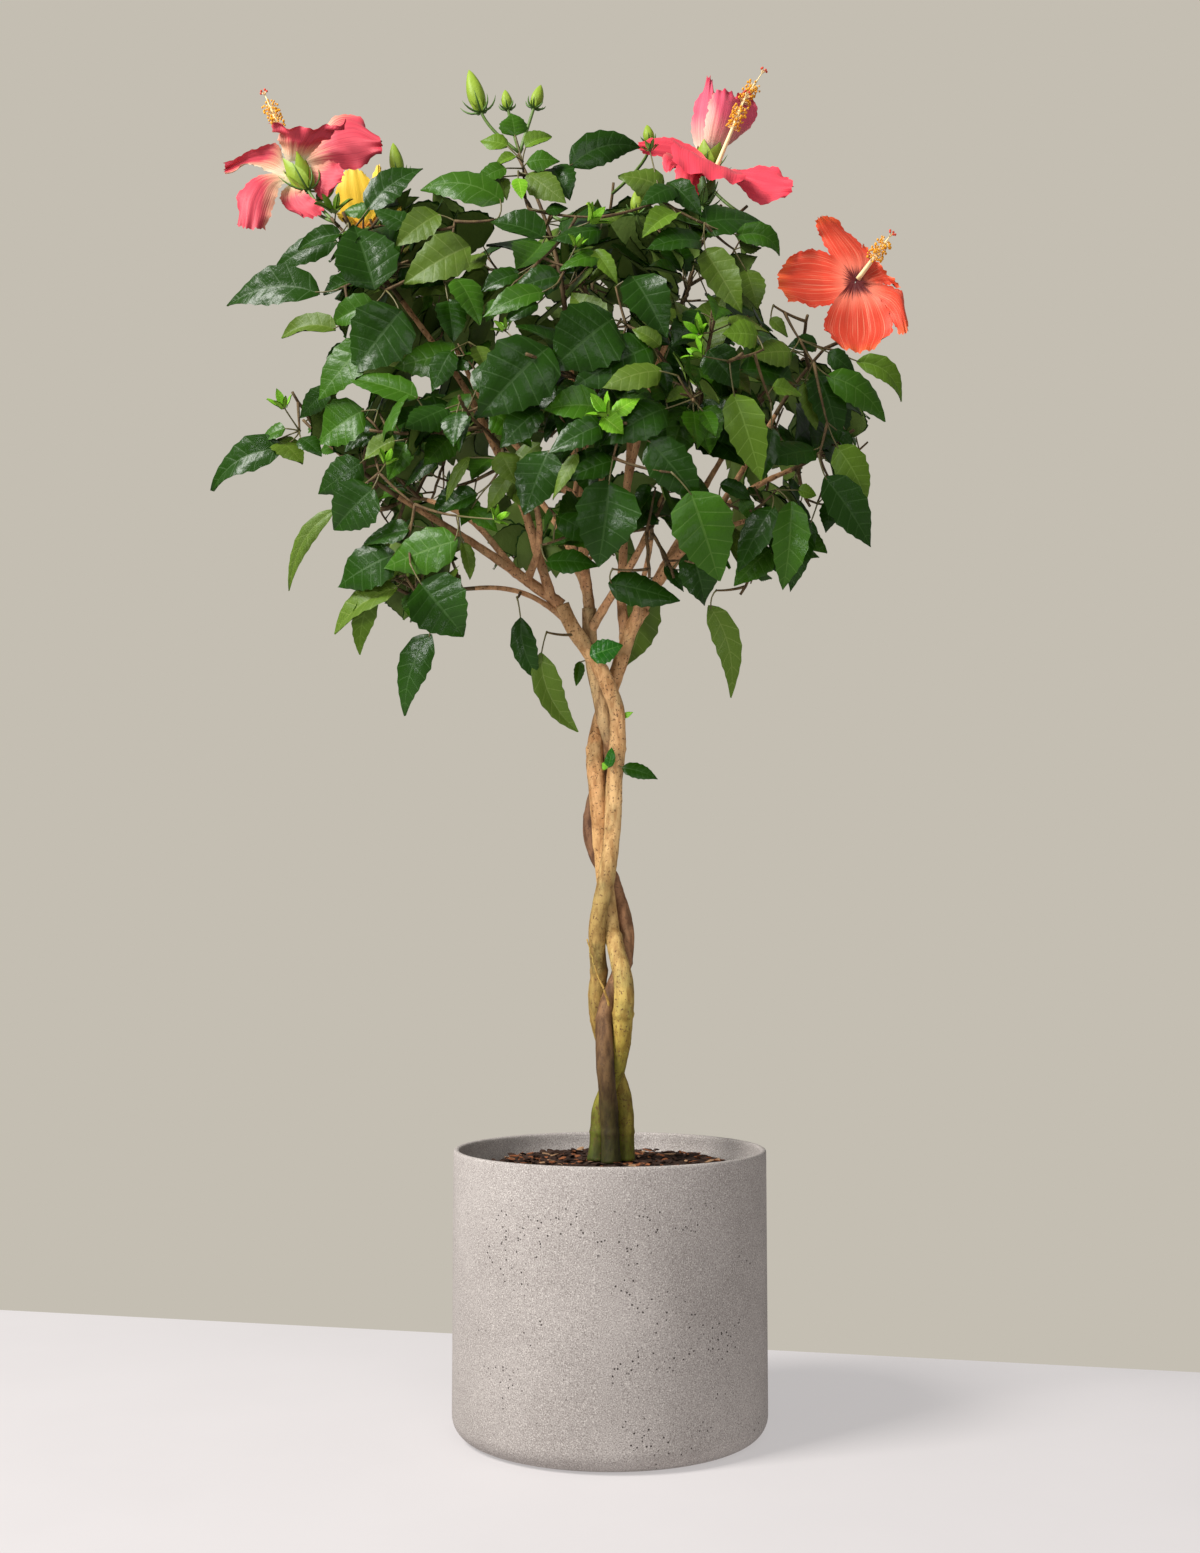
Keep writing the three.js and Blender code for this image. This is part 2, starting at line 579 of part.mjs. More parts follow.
// A leaf grown from a point of a twig, or null where it finds no room.
function growLeaf(space, root, twigAlong, turn, scale, random) {
  const out = root.clone().sub(CROWN_HEART).normalize();
  const level = new THREE.Vector3(out.x, out.y, 0).normalize();
  const aside = anySideOf(twigAlong).applyAxisAngle(twigAlong, turn);
  const length = random(LEAF.shortest, LEAF.longest) * scale;
  const stalkLength = random(LEAF.stalkShortest, LEAF.stalkLongest) * scale;
  const width = length * LEAF.widthRatio * random(...LEAF.play);
  const upward = Math.max(0, out.z);
  const droop = random(...HANG.droop) * (1 - HANG.stiff * upward);
  const faceTurn = random(-HANG.faceTurn, HANG.faceTurn);
  const faceLift = random(...HANG.faceLift) + HANG.skyward * upward;
  const stalk = aside.clone().multiplyScalar(HANG.aside).addScaledVector(twigAlong, HANG.along).normalize();
  const face = level.clone().applyAxisAngle(UP, faceTurn).addScaledVector(UP, faceLift).normalize();
  const hang = stalk.clone().addScaledVector(out, HANG.out).addScaledVector(UP, -droop);
  hang.addScaledVector(face, -hang.dot(face)).normalize();
  const foot = root.clone().addScaledVector(stalk, stalkLength);
  const elbow = foot.clone().addScaledVector(stalk, length * HANG.elbow);
  const tip = elbow.clone().addScaledVector(hang, length * (1 - HANG.elbow));
  const path = { root, foot, elbow, tip };
  const rings = leafRings(path, face, width, 0);
  if (rings.flat().some((point) => depthInside(space, point, LEAF_LEAN) < 0)) {
    return null;
  }
  const leaf = loft(rings);
  const blade = loft(leafRings(path, face, width, LEAF_GAP / 2).slice(1));
  return meetsOther(space.name, leaf) || meetsAny(grown, blade) ? null : leaf;
}

// A leaf between two given points, on a spur from the nearest of the points that may bear it.
function growSingleLeaf(bearers, from, to) {
  const nearest = bearers.reduce((best, point) => (
    point.distanceTo(from) < best.distanceTo(from) ? point : best
  ));
  const spurAlong = from.clone().sub(nearest).normalize();
  const length = from.distanceTo(to);
  const root = from.clone().addScaledVector(spurAlong, -SINGLE_LEAF.stalk);
  const blade = to.clone().sub(from).normalize();
  const elbow = from.clone().addScaledVector(blade, length * SINGLE_LEAF.elbow)
    .addScaledVector(UP, length * SINGLE_LEAF.rise);
  const out = from.clone().sub(CROWN_HEART).setZ(0).normalize()
    .addScaledVector(FRONT, SINGLE_LEAF.frontward);
  const path = { root, foot: from, elbow, tip: to };
  const leaf = loft(leafRings(path, out, length * SINGLE_LEAF.widthRatio, 0, SINGLE_LEAF.outline));
  const spurEnd = from.clone().addScaledVector(spurAlong, -SINGLE_LEAF.spurEnd);
  const spur = growTwigSolid(nearest, spurEnd, TWIG.spurTip);
  return leaf.add(spur);
}

// Blossom

function directionFrom(headingDegrees, liftDegrees) {
  const heading = THREE.MathUtils.degToRad(headingDegrees);
  const lift = THREE.MathUtils.degToRad(liftDegrees);
  return new THREE.Vector3(
    Math.cos(lift) * Math.cos(heading), Math.cos(lift) * Math.sin(heading), Math.sin(lift),
  );
}

// A flower in one piece: rings of five points for the stalk, calyx and throat on the way out,
// the scalloped rim of the petals, and the column of anthers that stands out of the throat.
function makeBloom([, middle, heading, lift, radius, cup]) {
  const centre = new THREE.Vector3(...middle);
  const facing = directionFrom(heading, lift);
  const side = anySideOf(facing);
  const ahead = (distance) => centre.clone().addScaledVector(facing, distance);
  const corners = [];
  const faces = [];
  const addRing = ([distance, reach]) => {
    corners.push(...ringAround(ahead(distance), facing, side, reach, PETALS));
    return corners.length - PETALS;
  };
  const behind = [BLOOM.stalkEnd, BLOOM.calyx, [-BLOOM.thick / 2, BLOOM.neck]].map(addRing);
  const column = BLOOM.column.map(([share, reach]) => [radius * share, reach]);
  const before = [[BLOOM.thick / 2, BLOOM.throat], ...column].map(addRing);
  const rim = corners.length;
  const around = BLOOM.rim.length;
  for (let k = 0; k < PETALS; k += 1) {
    for (const [share, open] of BLOOM.rim) {
      const reach = THREE.MathUtils.lerp(open, 1, Math.max(0, cup) / 90);
      const outward = side.clone().applyAxisAngle(facing, (2 * Math.PI * (k + share)) / PETALS);
      const lifted = THREE.MathUtils.degToRad(cup) - BLOOM.curl * reach;
      corners.push(centre.clone()
        .addScaledVector(outward, radius * reach * Math.cos(lifted))
        .addScaledVector(facing, radius * reach * Math.sin(lifted)));
    }
  }
  const bothSides = (under, over, edge, nextEdge) => {
    faces.push(under, nextEdge, edge);
    faces.push(over, edge, nextEdge);
  };
  for (let k = 0; k < PETALS; k += 1) {
    const l = (k + 1) % PETALS;
    for (const rings of [behind, before]) {
      for (let i = 0; i < 2; i += 1) {
        faces.push(rings[i] + k, rings[i] + l, rings[i + 1] + l);
        faces.push(rings[i] + k, rings[i + 1] + l, rings[i + 1] + k);
      }
    }
    const notch = rim + around * k;
    bothSides(behind[2] + k, before[0] + k, notch, notch + 1);
    bothSides(behind[2] + k, before[0] + k, notch + 1, notch + 2);
    faces.push(behind[2] + k, behind[2] + l, notch + 2);
    faces.push(before[0] + k, notch + 2, before[0] + l);
    bothSides(behind[2] + l, before[0] + l, notch + 2, notch + 3);
    bothSides(behind[2] + l, before[0] + l, notch + 3, rim + around * l);
  }
  for (let k = 2; k < PETALS; k += 1) {
    faces.push(behind[0], behind[0] + k, behind[0] + k - 1);
    faces.push(before[2], before[2] + k - 1, before[2] + k);
  }
  return { solid: solidFrom(corners.flatMap((corner) => corner.toArray()), faces), base: ahead(BLOOM.base) };
}

// A closed bud, fattest below its middle.
function makeBud([, middle, heading, lift, length]) {
  const centre = new THREE.Vector3(...middle);
  const facing = directionFrom(heading, lift);
  const ahead = (share) => centre.clone().addScaledVector(facing, share * length);
  const line = [BUD_SHAPE.foot, BUD_SHAPE.belly, BUD_SHAPE.tip].map(ahead);
  const [foot, belly, tip] = BUD_SHAPE.radii;
  const solid = tube(line, [foot, length * belly, tip], BUD_SHAPE.sides);
  return { solid, base: ahead(BUD_SHAPE.base) };
}

// Blossom and buds of one mass with the stalks that carry them from the end of its stem.
function growBlossom(name, stem) {
  const flowers = [
    ...BLOOMS.filter(([bearer]) => bearer === name).map(makeBloom),
    ...BUDS.filter(([bearer]) => bearer === name).map(makeBud),
  ];
  return flowers.map(({ solid, base }) => {
    const root = stem.curve.getPoint(FLOWER_STALK.from);
    const bend = root.clone().lerp(base, 0.5)
      .addScaledVector(stem.curve.getTangent(1), FLOWER_STALK.bow);
    const points = new THREE.QuadraticBezierCurve3(root, bend, base).getPoints(FLOWER_STALK.steps);
    return solid.add(tube(points, [TWIG.tip, ...FLOWER_STALK.radii], TWIG.sides));
  });
}

// Masses

// The stem of a mass goes on from its bough's tip and bends to the heart of its space.
function growStem(space) {
  const bough = limbs[space.bough];
  const { place, along } = alongLimb(bough, 1);
  const start = place.addScaledVector(along, SEAT_GAP + FACET_GAP);
  const bend = start.clone().addScaledVector(along, start.distanceTo(space.tip) * STEM_BEND);
  const curve = new THREE.QuadraticBezierCurve3(start, bend, space.tip);
  const points = curve.getPoints(STEM_STEPS);
  const radii = points.map((_, i) => THREE.MathUtils.lerp(bough.radii.at(-1), TWIG.root, i / STEM_STEPS));
  const solid = tube(points, radii, TWIG.sides, along);
  claim(space.name, solid);
  return { curve, solid };
}

// How far a straight line from a point stays inside a mass's space.
function roomAhead(space, from, direction) {
  const isInside = (length) => (
    depthInside(space, from.clone().addScaledVector(direction, length), 0) > TWIG.clearOfBorder
  );
  let length = 0;
  while (length < TWIG.longest && isInside(length)) {
    length += TWIG.feeler;
  }
  return length;
}

// A straight twig, which starts narrow inside its stem.
function growTwigSolid(from, to, tip) {
  const collar = from.clone().lerp(to, TWIG.collar / from.distanceTo(to));
  return tube([from, collar, to], [TWIG.sunk, TWIG.root, tip], TWIG.sides);
}

// Side twigs leave the stem in three ranks, the lower ones square to it and the last ones
// nearly along it, and fill the mass's space.
function growTwigs(space, stem, index, random) {
  const twigs = [];
  for (let i = 0; i < space.twigs; i += 1) {
    const share = i / (space.twigs - 1);
    const t = THREE.MathUtils.lerp(TWIG.lowest, TWIG.highest, share);
    const base = stem.curve.getPoint(t);
    const stemAlong = stem.curve.getTangent(t);
    const opening = THREE.MathUtils.lerp(TWIG.widest, TWIG.narrowest, share);
    const spread = THREE.MathUtils.degToRad(opening + random(-TWIG.play, TWIG.play));
    const turn = FIRST_TURN + (i + index) * TURN + random(-TWIG.stray, TWIG.stray);
    const aside = anySideOf(stemAlong).applyAxisAngle(stemAlong, turn);
    const direction = stemAlong.clone().multiplyScalar(Math.cos(spread))
      .addScaledVector(aside, Math.sin(spread)).normalize();
    const length = roomAhead(space, base, direction) - TWIG.margin;
    if (length > TWIG.shortest) {
      const end = base.clone().addScaledVector(direction, length);
      const curve = new THREE.LineCurve3(base, end);
      const solid = growTwigSolid(base, end, TWIG.tip);
      if (!meetsOther(space.name, solid)) {
        twigs.push({ curve, solid, length });
      }
    }
  }
  return twigs;
}

// Where leaves may stand in a mass: along each twig by a steady turn, and along the stem.
function leafBuds(stem, twigs) {
  const buds = [];
  twigs.forEach(({ curve, length }, i) => {
    const count = Math.max(2, Math.round(length / TWIG.leafStep));
    for (let n = 0; n < count; n += 1) {
      const at = Math.min(BUD.last, (n + BUD.first) / count);
      buds.push({ curve, at, turn: FIRST_TURN + (n + i) * TURN, size: 1 });
    }
    buds.push({ curve, at: BUD.last, turn: FIRST_TURN + (count + i) * TURN, size: BUD.endSize });
  });
  BUD.onStem.forEach((at, n) => buds.push({ curve: stem.curve, at, turn: n * TURN, size: 1 }));
  return buds;
}

function add(item, solid) {
  claim(item.name, solid);
  item.solid = item.solid.add(solid);
}

// All stems grow first with their blossom, then the single leaves and all twigs, and then
// the other leaves turn by turn, one for each mass.
function growCrown() {
  Object.values(limbs).forEach((limb) => claim(limb.name, limb.guard));
  const list = spaces.map((space, i) => (
    { name: space.name, space, random: seeded(SEED + SEED_STEP * i) }
  ));
  for (const item of list) {
    item.stem = growStem(item.space);
    item.solid = item.stem.solid;
    growBlossom(item.name, item.stem).forEach((flower) => add(item, flower));
  }
  for (const item of list) {
    const bearers = item.stem.curve.getPoints(SINGLE_LEAF.bearers).slice(1);
    SINGLE_LEAVES.filter(([bearer]) => bearer === item.name).forEach(([, from, to]) => {
      add(item, growSingleLeaf(bearers, new THREE.Vector3(...from), new THREE.Vector3(...to)));
    });
  }
  list.forEach((item, i) => {
    item.twigs = growTwigs(item.space, item.stem, i, item.random);
    item.twigs.forEach((twig) => add(item, twig.solid));
    item.buds = leafBuds(item.stem, item.twigs);
  });
  const rounds = Math.max(...list.map((item) => item.buds.length));
  for (let n = 0; n < rounds; n += 1) {
    for (const item of list.filter(({ buds }) => n < buds.length)) {
      const { curve, at, turn, size } = item.buds[n];
      for (let attempt = 0; attempt < LEAF_TRIES; attempt += 1) {
        const smaller = size * (1 - LEAF_SHRINK * attempt);
        const leaf = growLeaf(
          item.space, curve.getPoint(at), curve.getTangent(at), turn + attempt * TURN, smaller, item.random,
        );
        if (leaf) {
          add(item, leaf);
          break;
        }
      }
    }
  }
  return list;
}

// A sprig of a few leaves straight from the side of a limb.
function makeSprig([from, at, heading, reach, leaves]) {
  const { place, along } = alongLimb(limbs[from], at);
  const shoot = directionFrom(heading, SPRIG.lift);
  const end = place.clone().addScaledVector(shoot, reach);
  let sprig = tube([place, end], SPRIG.radii, TWIG.sides);
  for (const [turn, dip, length] of leaves) {
    const blade = directionFrom(turn, -dip);
    const out = directionFrom(turn, 90 - dip);
    const foot = end.clone().addScaledVector(directionFrom(turn, 0), SPRIG.leafAhead);
    const elbow = foot.clone().addScaledVector(blade, length * SPRIG.elbow)
      .addScaledVector(UP, SPRIG.rise);
    const tip = foot.clone().addScaledVector(blade, length);
    const root = end.clone().addScaledVector(shoot, -SPRIG.sunk);
    const path = { root, foot, elbow, tip };
    const width = length * SINGLE_LEAF.widthRatio;
    sprig = sprig.add(loft(leafRings(path, out, width, 0, SINGLE_LEAF.outline)));
  }
  for (const limb of Object.values(limbs)) {
    sprig = sprig.subtract(limb.grown);
  }
  return largestBody(sprig);
}

// The whole plant

const plant = new THREE.Group();

function place(name, solid, finish) {
  const mesh = new THREE.Mesh(geometryFrom(solid), new THREE.MeshStandardMaterial(finish));
  mesh.name = name;
  plant.add(mesh);
}

const CONCRETE = { color: 0xb9b2a6, roughness: 0.85, metalness: 0 };
const EARTH = { color: 0x3a2a20, roughness: 1, metalness: 0 };
const BARK = { color: 0xa57a4f, roughness: 0.8, metalness: 0 };
const LEAFAGE = { color: 0x2f5a2a, roughness: 0.45, metalness: 0 };

place('pot', makePot(), CONCRETE);
place('soil', makeSoil(), EARTH);
makeStrands();
for (const [name, bough] of Object.entries(BOUGHS)) {
  makeBough(name, bough);
}
for (const [name, limb] of Object.entries(limbs)) {
  place(name, limb.solid, BARK);
}
for (const item of growCrown()) {
  place(item.name, largestBody(item.solid), LEAFAGE);
}
for (const [name, sprig] of Object.entries(SPRIGS)) {
  place(name, makeSprig(sprig), LEAFAGE);
}

export default plant;
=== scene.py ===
import json
import math

import bpy
import numpy as np
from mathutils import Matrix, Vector, noise

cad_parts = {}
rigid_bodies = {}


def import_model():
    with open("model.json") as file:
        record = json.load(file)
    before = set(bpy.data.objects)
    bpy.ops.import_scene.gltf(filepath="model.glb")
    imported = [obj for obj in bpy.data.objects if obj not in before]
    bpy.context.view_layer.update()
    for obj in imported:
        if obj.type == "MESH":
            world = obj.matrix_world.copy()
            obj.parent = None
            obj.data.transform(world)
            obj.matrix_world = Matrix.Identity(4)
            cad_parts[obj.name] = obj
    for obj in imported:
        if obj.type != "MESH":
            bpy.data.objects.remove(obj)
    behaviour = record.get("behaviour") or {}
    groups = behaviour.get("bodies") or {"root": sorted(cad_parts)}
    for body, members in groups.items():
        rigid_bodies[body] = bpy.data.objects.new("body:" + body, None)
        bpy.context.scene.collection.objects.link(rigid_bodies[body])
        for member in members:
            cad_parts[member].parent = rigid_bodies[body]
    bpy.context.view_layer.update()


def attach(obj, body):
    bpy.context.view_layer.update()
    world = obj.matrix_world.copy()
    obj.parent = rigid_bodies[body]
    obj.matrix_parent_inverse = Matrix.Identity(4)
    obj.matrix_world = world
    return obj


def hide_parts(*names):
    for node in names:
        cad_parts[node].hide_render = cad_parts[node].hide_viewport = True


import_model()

# A hibiscus trained as a small standard in a round concrete pot. Lengths are in millimetres
# here, and each mesh is turned to metres when it is made. +Z is up, the front faces -Y and
# the origin is the middle of the pot's flat underside.

MM = 0.001
UP = np.array([0.0, 0.0, 1.0])

# The camera: its place, how far it looks up in radians, and its focal length in the pixels
# of the 1200 x 1553 picture.
PICTURE = (1200, 1553)
EYE = (-9.9, -1898.0, 493.0)
PITCH = 0.085
FOCAL = 1858.0
SENSOR = 36.0

# The pot, and the soil in it, whose top is flat in the middle and drops towards the wall.
POT = {"radius": 157, "height": 279, "wall": 6, "foot_round": 21, "lip": 2.6, "inside": 246}
SOIL = {"top": 265.6, "flat": 106, "drop": 21, "fall": 1.4, "bed": 1.2}

# The stems: their radii at the foot and at the fork, the flare, and the gap that they keep.
STRAND = {
    "foot": 8.7, "fork": 7.2, "flare": 1.1, "flare_height": 32, "gap": 1.2, "rings": 25,
    "fine_rings": 230,
}
FOOT_HEIGHT = 265.9
FORK_HEIGHT = 830
# The plait: a height, and there the places (right, back) of the right, left and middle stem.
PLAIT = [
    [FOOT_HEIGHT, [15, 2], [-13, 2], [2, -12]],
    [317, [15, 9], [-8, 5], [-1, -12]],
    [362, [2, 17], [7, -5], [-4, -18]],
    [412, [-12, 9], [13, -15], [-4, -11]],
    [459, [-11, -1], [11, -19], [12, -2]],
    [503, [-12, -12], [1, -1], [15, 8]],
    [547, [-4, -16], [-5, 1], [2, 17]],
    [590, [2, -14], [-9, 3], [-18, 17]],
    [631, [4, -13], [-12, -5], [-16, 12]],
    [653, [5, -13], [-13, -5], [-7, 13]],
    [675, [7, -14], [-14, 3], [3, 5]],
    [700, [8, -13], [-13, 11], [-2, -2]],
    [722, [7, -14], [-7, 16], [-6, -2]],
    [746, [-1, -14], [1, 15], [-11, 1]],
    [780, [-19, -11], [13, 10], [-18, 8]],
    [805, [-37, -12], [21, 8], [-21, 8]],
    [FORK_HEIGHT, [-49, -13], [34, 6], [-21, 6]],
]
STRAND_NAMES = ["strand_right", "strand_left", "strand_middle"]

# Boughs: the parent and the fraction of its length where it leaves, the heading in degrees,
# the reach and the rise, the bow upward and the sway to its left at half way, two radii.
BOUGHS = {
    "bough_far_left": ["strand_right", 1, -167, 169, 104, 3, -2, 6.4, 2.6],
    "bough_diagonal": ["bough_far_left", 0.07, -151, 167, 283, 10, 20, 5.2, 2.5],
    "bough_low_left": ["strand_right", 0.95, -170, 104, 41, 16, -2, 3.2, 2.2],
    "bough_front_left": ["bough_far_left", 0.22, -92, 100, 89, -7, 17, 4.0, 2.4],
    "bough_back_low_left": ["bough_far_left", 0.3, 135, 136, 97, 11, -2, 3.8, 2.4],
    "bough_leader": ["strand_middle", 1, -127, 39, 298, -1, -1, 6.0, 2.8],
    "bough_front": ["bough_leader", 0.12, -88, 127, 107, -23, -16, 4.4, 2.4],
    "bough_back_left": ["bough_leader", 0.06, 128, 160, 188, -3, -17, 5.0, 2.6],
    "bough_back": ["bough_leader", 0.2, 84, 166, 196, -23, -8, 4.6, 2.5],
    "bough_upper_back_left": ["bough_leader", 0.38, 146, 165, 186, -22, -13, 4.0, 2.4],
    "bough_front_right": ["strand_middle", 0.96, -49, 149, 170, -9, 0, 4.8, 2.6],
    "bough_right": ["strand_left", 1, 1, 155, 147, 18, -8, 6.2, 2.6],
    "bough_upright": ["strand_left", 0.93, 24, 50, 332, 13, 22, 5.6, 2.8],
    "bough_upper_back": ["bough_upright", 0.45, 109, 81, 230, 2, -16, 4.0, 2.4],
    "bough_orange": ["bough_right", 0.12, -15, 127, 171, -7, 2, 4.6, 2.4],
    "bough_low_right": ["bough_right", 0.25, -40, 94, 31, 3, -7, 3.8, 2.4],
    "bough_back_right": ["bough_right", 0.08, 54, 168, 210, -1, 0, 5.0, 2.5],
    "bough_front_low": ["strand_left", 0.97, -81, 94, 69, -2, 0, 3.6, 2.2],
    "bough_low_back": ["bough_back_left", 0.2, 75, 96, 44, -13, 3, 3.6, 2.2],
}

# Masses: the bough, the heart and the half sizes of its space, its twigs, the stem's tip.
MASSES = {
    "foliage_far_left": ["bough_far_left", [-295, -50, 985], [112, 100, 82], 6, [-312, -45, 1015]],
    "foliage_upper_left":
        ["bough_diagonal", [-257, -105, 1119], [118, 110, 120], 7, [-274, -80, 1205]],
    "foliage_low_left": ["bough_low_left", [-205, -50, 835], [105, 95, 100], 4],
    "foliage_front_left": ["bough_front_left", [-135, -165, 985], [115, 100, 115], 5],
    "foliage_back_low_left": ["bough_back_low_left", [-245, 125, 962], [102, 110, 98], 5],
    "foliage_leader": ["bough_leader", [-88, -45, 1205], [105, 105, 140], 7, [-96, -30, 1300]],
    "foliage_front": ["bough_front", [-20, -190, 1015], [110, 95, 125], 6],
    "foliage_back_left": ["bough_back_left", [-205, 200, 1090], [120, 115, 120], 5],
    "foliage_back": ["bough_back", [-10, 240, 1150], [125, 110, 120], 6],
    "foliage_upper_back_left":
        ["bough_upper_back_left", [-185, 60, 1200], [125, 120, 110], 6, [-245, 60, 1240]],
    "foliage_front_right": ["bough_front_right", [90, -165, 1035], [115, 105, 120], 6],
    "foliage_right": ["bough_right", [225, 15, 1000], [84, 110, 98], 5],
    "foliage_upper_right": ["bough_upright", [85, -10, 1190], [120, 120, 115], 6, [98, 0, 1232]],
    "foliage_upper_back": ["bough_upper_back", [-15, 130, 1265], [115, 110, 90], 5],
    "foliage_orange": ["bough_orange", [200, -65, 1070], [100, 105, 105], 4, [219, -60, 1086]],
    "foliage_low_right": ["bough_low_right", [160, -75, 885], [105, 100, 95], 4],
    "foliage_back_right": ["bough_back_right", [174, 190, 1095], [120, 120, 125], 6],
    "foliage_front_low": ["bough_front_low", [35, -135, 880], [105, 100, 90], 4],
    "foliage_low_back": ["bough_low_back", [-20, 178, 948], [128, 110, 92], 5],
}
SPRIG_NODES = ["sprig_fork", "sprig_fork_back", "sprig_hanging", "sprig_trunk"]
# How thin the boughs are drawn out, the steps of their line, how they waver, and the collar where
# they leave their parent.
BOUGH = {
    "taper": 0.8, "step": 4, "waver": 1.1, "waver_length": 21, "collar": 0.22,
    "collar_length": 11,
}
SEED = 4127
SEED_STEP = 97
CROWN_HEART = np.array([-15.0, 0.0, 1010.0])
STEM_BEND = 0.45
# Twigs of a mass: radii, lengths, where on the stem they leave it and at which angles, how far
# they stay inside the mass's space, and how crooked they are.
TWIG = {
    "root": 2.1, "tip": 1.5, "longest": 140, "shortest": 15, "lowest": 0.2, "highest": 0.98,
    "widest": 96, "narrowest": 38, "play": 12, "stray": 0.3, "margin": 18, "border": 4,
    "feeler": 6, "step": 9, "sway": 0.07, "zigzag": 0.5, "rise": 0.06,
}
# Finer twigs on each twig: how many, where, their angles, their lengths and radii.
SHOOT = {
    "count": 3, "first": 0.3, "last": 0.92, "opening": [30, 62], "length": [26, 62],
    "root": 1.4, "tip": 0.8, "stray": 0.4, "lean": 10,
}
# Leaves: lengths, width over length, stalks, how close they stand on a twig, how far they may
# lean out of their mass, and how often a place is tried.
LEAF = {
    "shortest": 58, "longest": 96, "width": 0.72, "stalk": [12, 26], "every": 12,
    "lean": 34, "tries": 7, "crowded": 2, "foreshortened": 0.35,
}
# How leaves hang: how their stalks leave the twig, how far the blades turn outward and down,
# and how their upper sides turn to the sky.
HANG = {
    "aside": 0.85, "along": 0.5, "out": 0.5, "droop": [0.3, 1.1], "face_turn": 1.0,
    "face_lift": [0.1, 0.75], "skyward": 0.7, "stiff": 0.4, "elbow": 0.3,
}
GOLDEN = math.radians(137.5)
ROUND = 6.28
# The stretches of boughs and stems that the front view shows bare.
SHOWN_WOOD = {
    "bough_diagonal": (0.25, 1), "foliage_upper_left": (0, 0.7), "bough_far_left": (0.1, 1),
    "foliage_far_left": (0, 0.8), "bough_leader": (0, 1), "foliage_leader": (0.1, 1),
    "bough_upright": (0, 1), "bough_right": (0, 1), "bough_low_right": (0.1, 1),
    "bough_orange": (0.3, 1), "foliage_orange": (0, 1), "bough_low_left": (0, 1),
    "bough_front_right": (0, 0.5), "bough_front_low": (0, 0.5),
}


# Vectors

def vec(*numbers):
    return np.array(numbers, float)


def unit(v):
    return v / np.linalg.norm(v)


def lerp(a, b, t):
    return a + (b - a) * t


def turned(v, axis, angle):
    """v turned round a unit axis."""
    return (
        v * math.cos(angle)
        + np.cross(axis, v) * math.sin(angle)
        + axis * np.dot(axis, v) * (1 - math.cos(angle))
    )


def any_side_of(along):
    helper = vec(0, 1, 0) if abs(along[1]) < 0.8 else vec(1, 0, 0)
    return unit(helper - along * np.dot(helper, along))


def square_to(v, along):
    return unit(v - along * np.dot(v, along))


def compass(heading, lift):
    heading, lift = math.radians(heading), math.radians(lift)
    return vec(
        math.cos(lift) * math.cos(heading), math.cos(lift) * math.sin(heading), math.sin(lift)
    )


def aside_of(axis, turn):
    """The direction square to an axis, at a turn round it."""
    return turned(any_side_of(axis), axis, turn)


def spoke(axis, n, count):
    """The n-th of count directions spread evenly round an axis."""
    return aside_of(axis, n * 2 * math.pi / count)


def branch(axis, turn, opening):
    """A direction that opens from an axis by an angle, at a turn round it."""
    return unit(axis * math.cos(opening) + aside_of(axis, turn) * math.sin(opening))


def place_on(line, share):
    """The index of a line's point at a share of its length, and the line's direction there."""
    at = min(len(line) - 2, int(share * (len(line) - 1)))
    return at, unit(line[at + 1] - line[at])


def seeded(seed):
    """A picker of numbers between two limits, in an order that the seed sets."""
    state = [seed % 2147483647]

    def pick(low, high):
        state[0] = (state[0] * 48271) % 2147483647
        return low + (high - low) * state[0] / 2147483647

    return pick


def name_seed(name):
    return sum(map(ord, name))


def grain(x, y, z):
    return noise.noise(Vector((x, y, z)))


def bezier(a, b, c, t):
    """Points and directions of a quadratic curve at an array of t."""
    t = np.asarray(t, float)[..., None]
    point = (1 - t) ** 2 * a + 2 * t * (1 - t) * b + t * t * c
    along = 2 * (1 - t) * (b - a) + 2 * t * (c - b)
    return point, along / np.linalg.norm(along, axis=-1, keepdims=True)


# The picture's frame

def from_picture(across, down, depth):
    """The point at a depth y that the camera sees at a place of the picture."""
    slope = math.tan(PITCH + math.atan((PICTURE[1] / 2 - down) / FOCAL))
    ahead = depth - EYE[1]
    z = EYE[2] + ahead * slope
    far = ahead * math.cos(PITCH) + (z - EYE[2]) * math.sin(PITCH)
    return vec((across - PICTURE[0] / 2) / FOCAL * far + EYE[0], depth, z)


def to_picture(points):
    ahead = points[..., 1] - EYE[1]
    rise = points[..., 2] - EYE[2]
    far = ahead * math.cos(PITCH) + rise * math.sin(PITCH)
    high = rise * math.cos(PITCH) - ahead * math.sin(PITCH)
    across = PICTURE[0] / 2 + FOCAL * (points[..., 0] - EYE[0]) / far
    return np.stack([across, PICTURE[1] / 2 - FOCAL * high / far], -1)


# Meshes

def put(name, data):
    thing = bpy.data.objects.new(name, data)
    bpy.context.collection.objects.link(thing)
    return thing


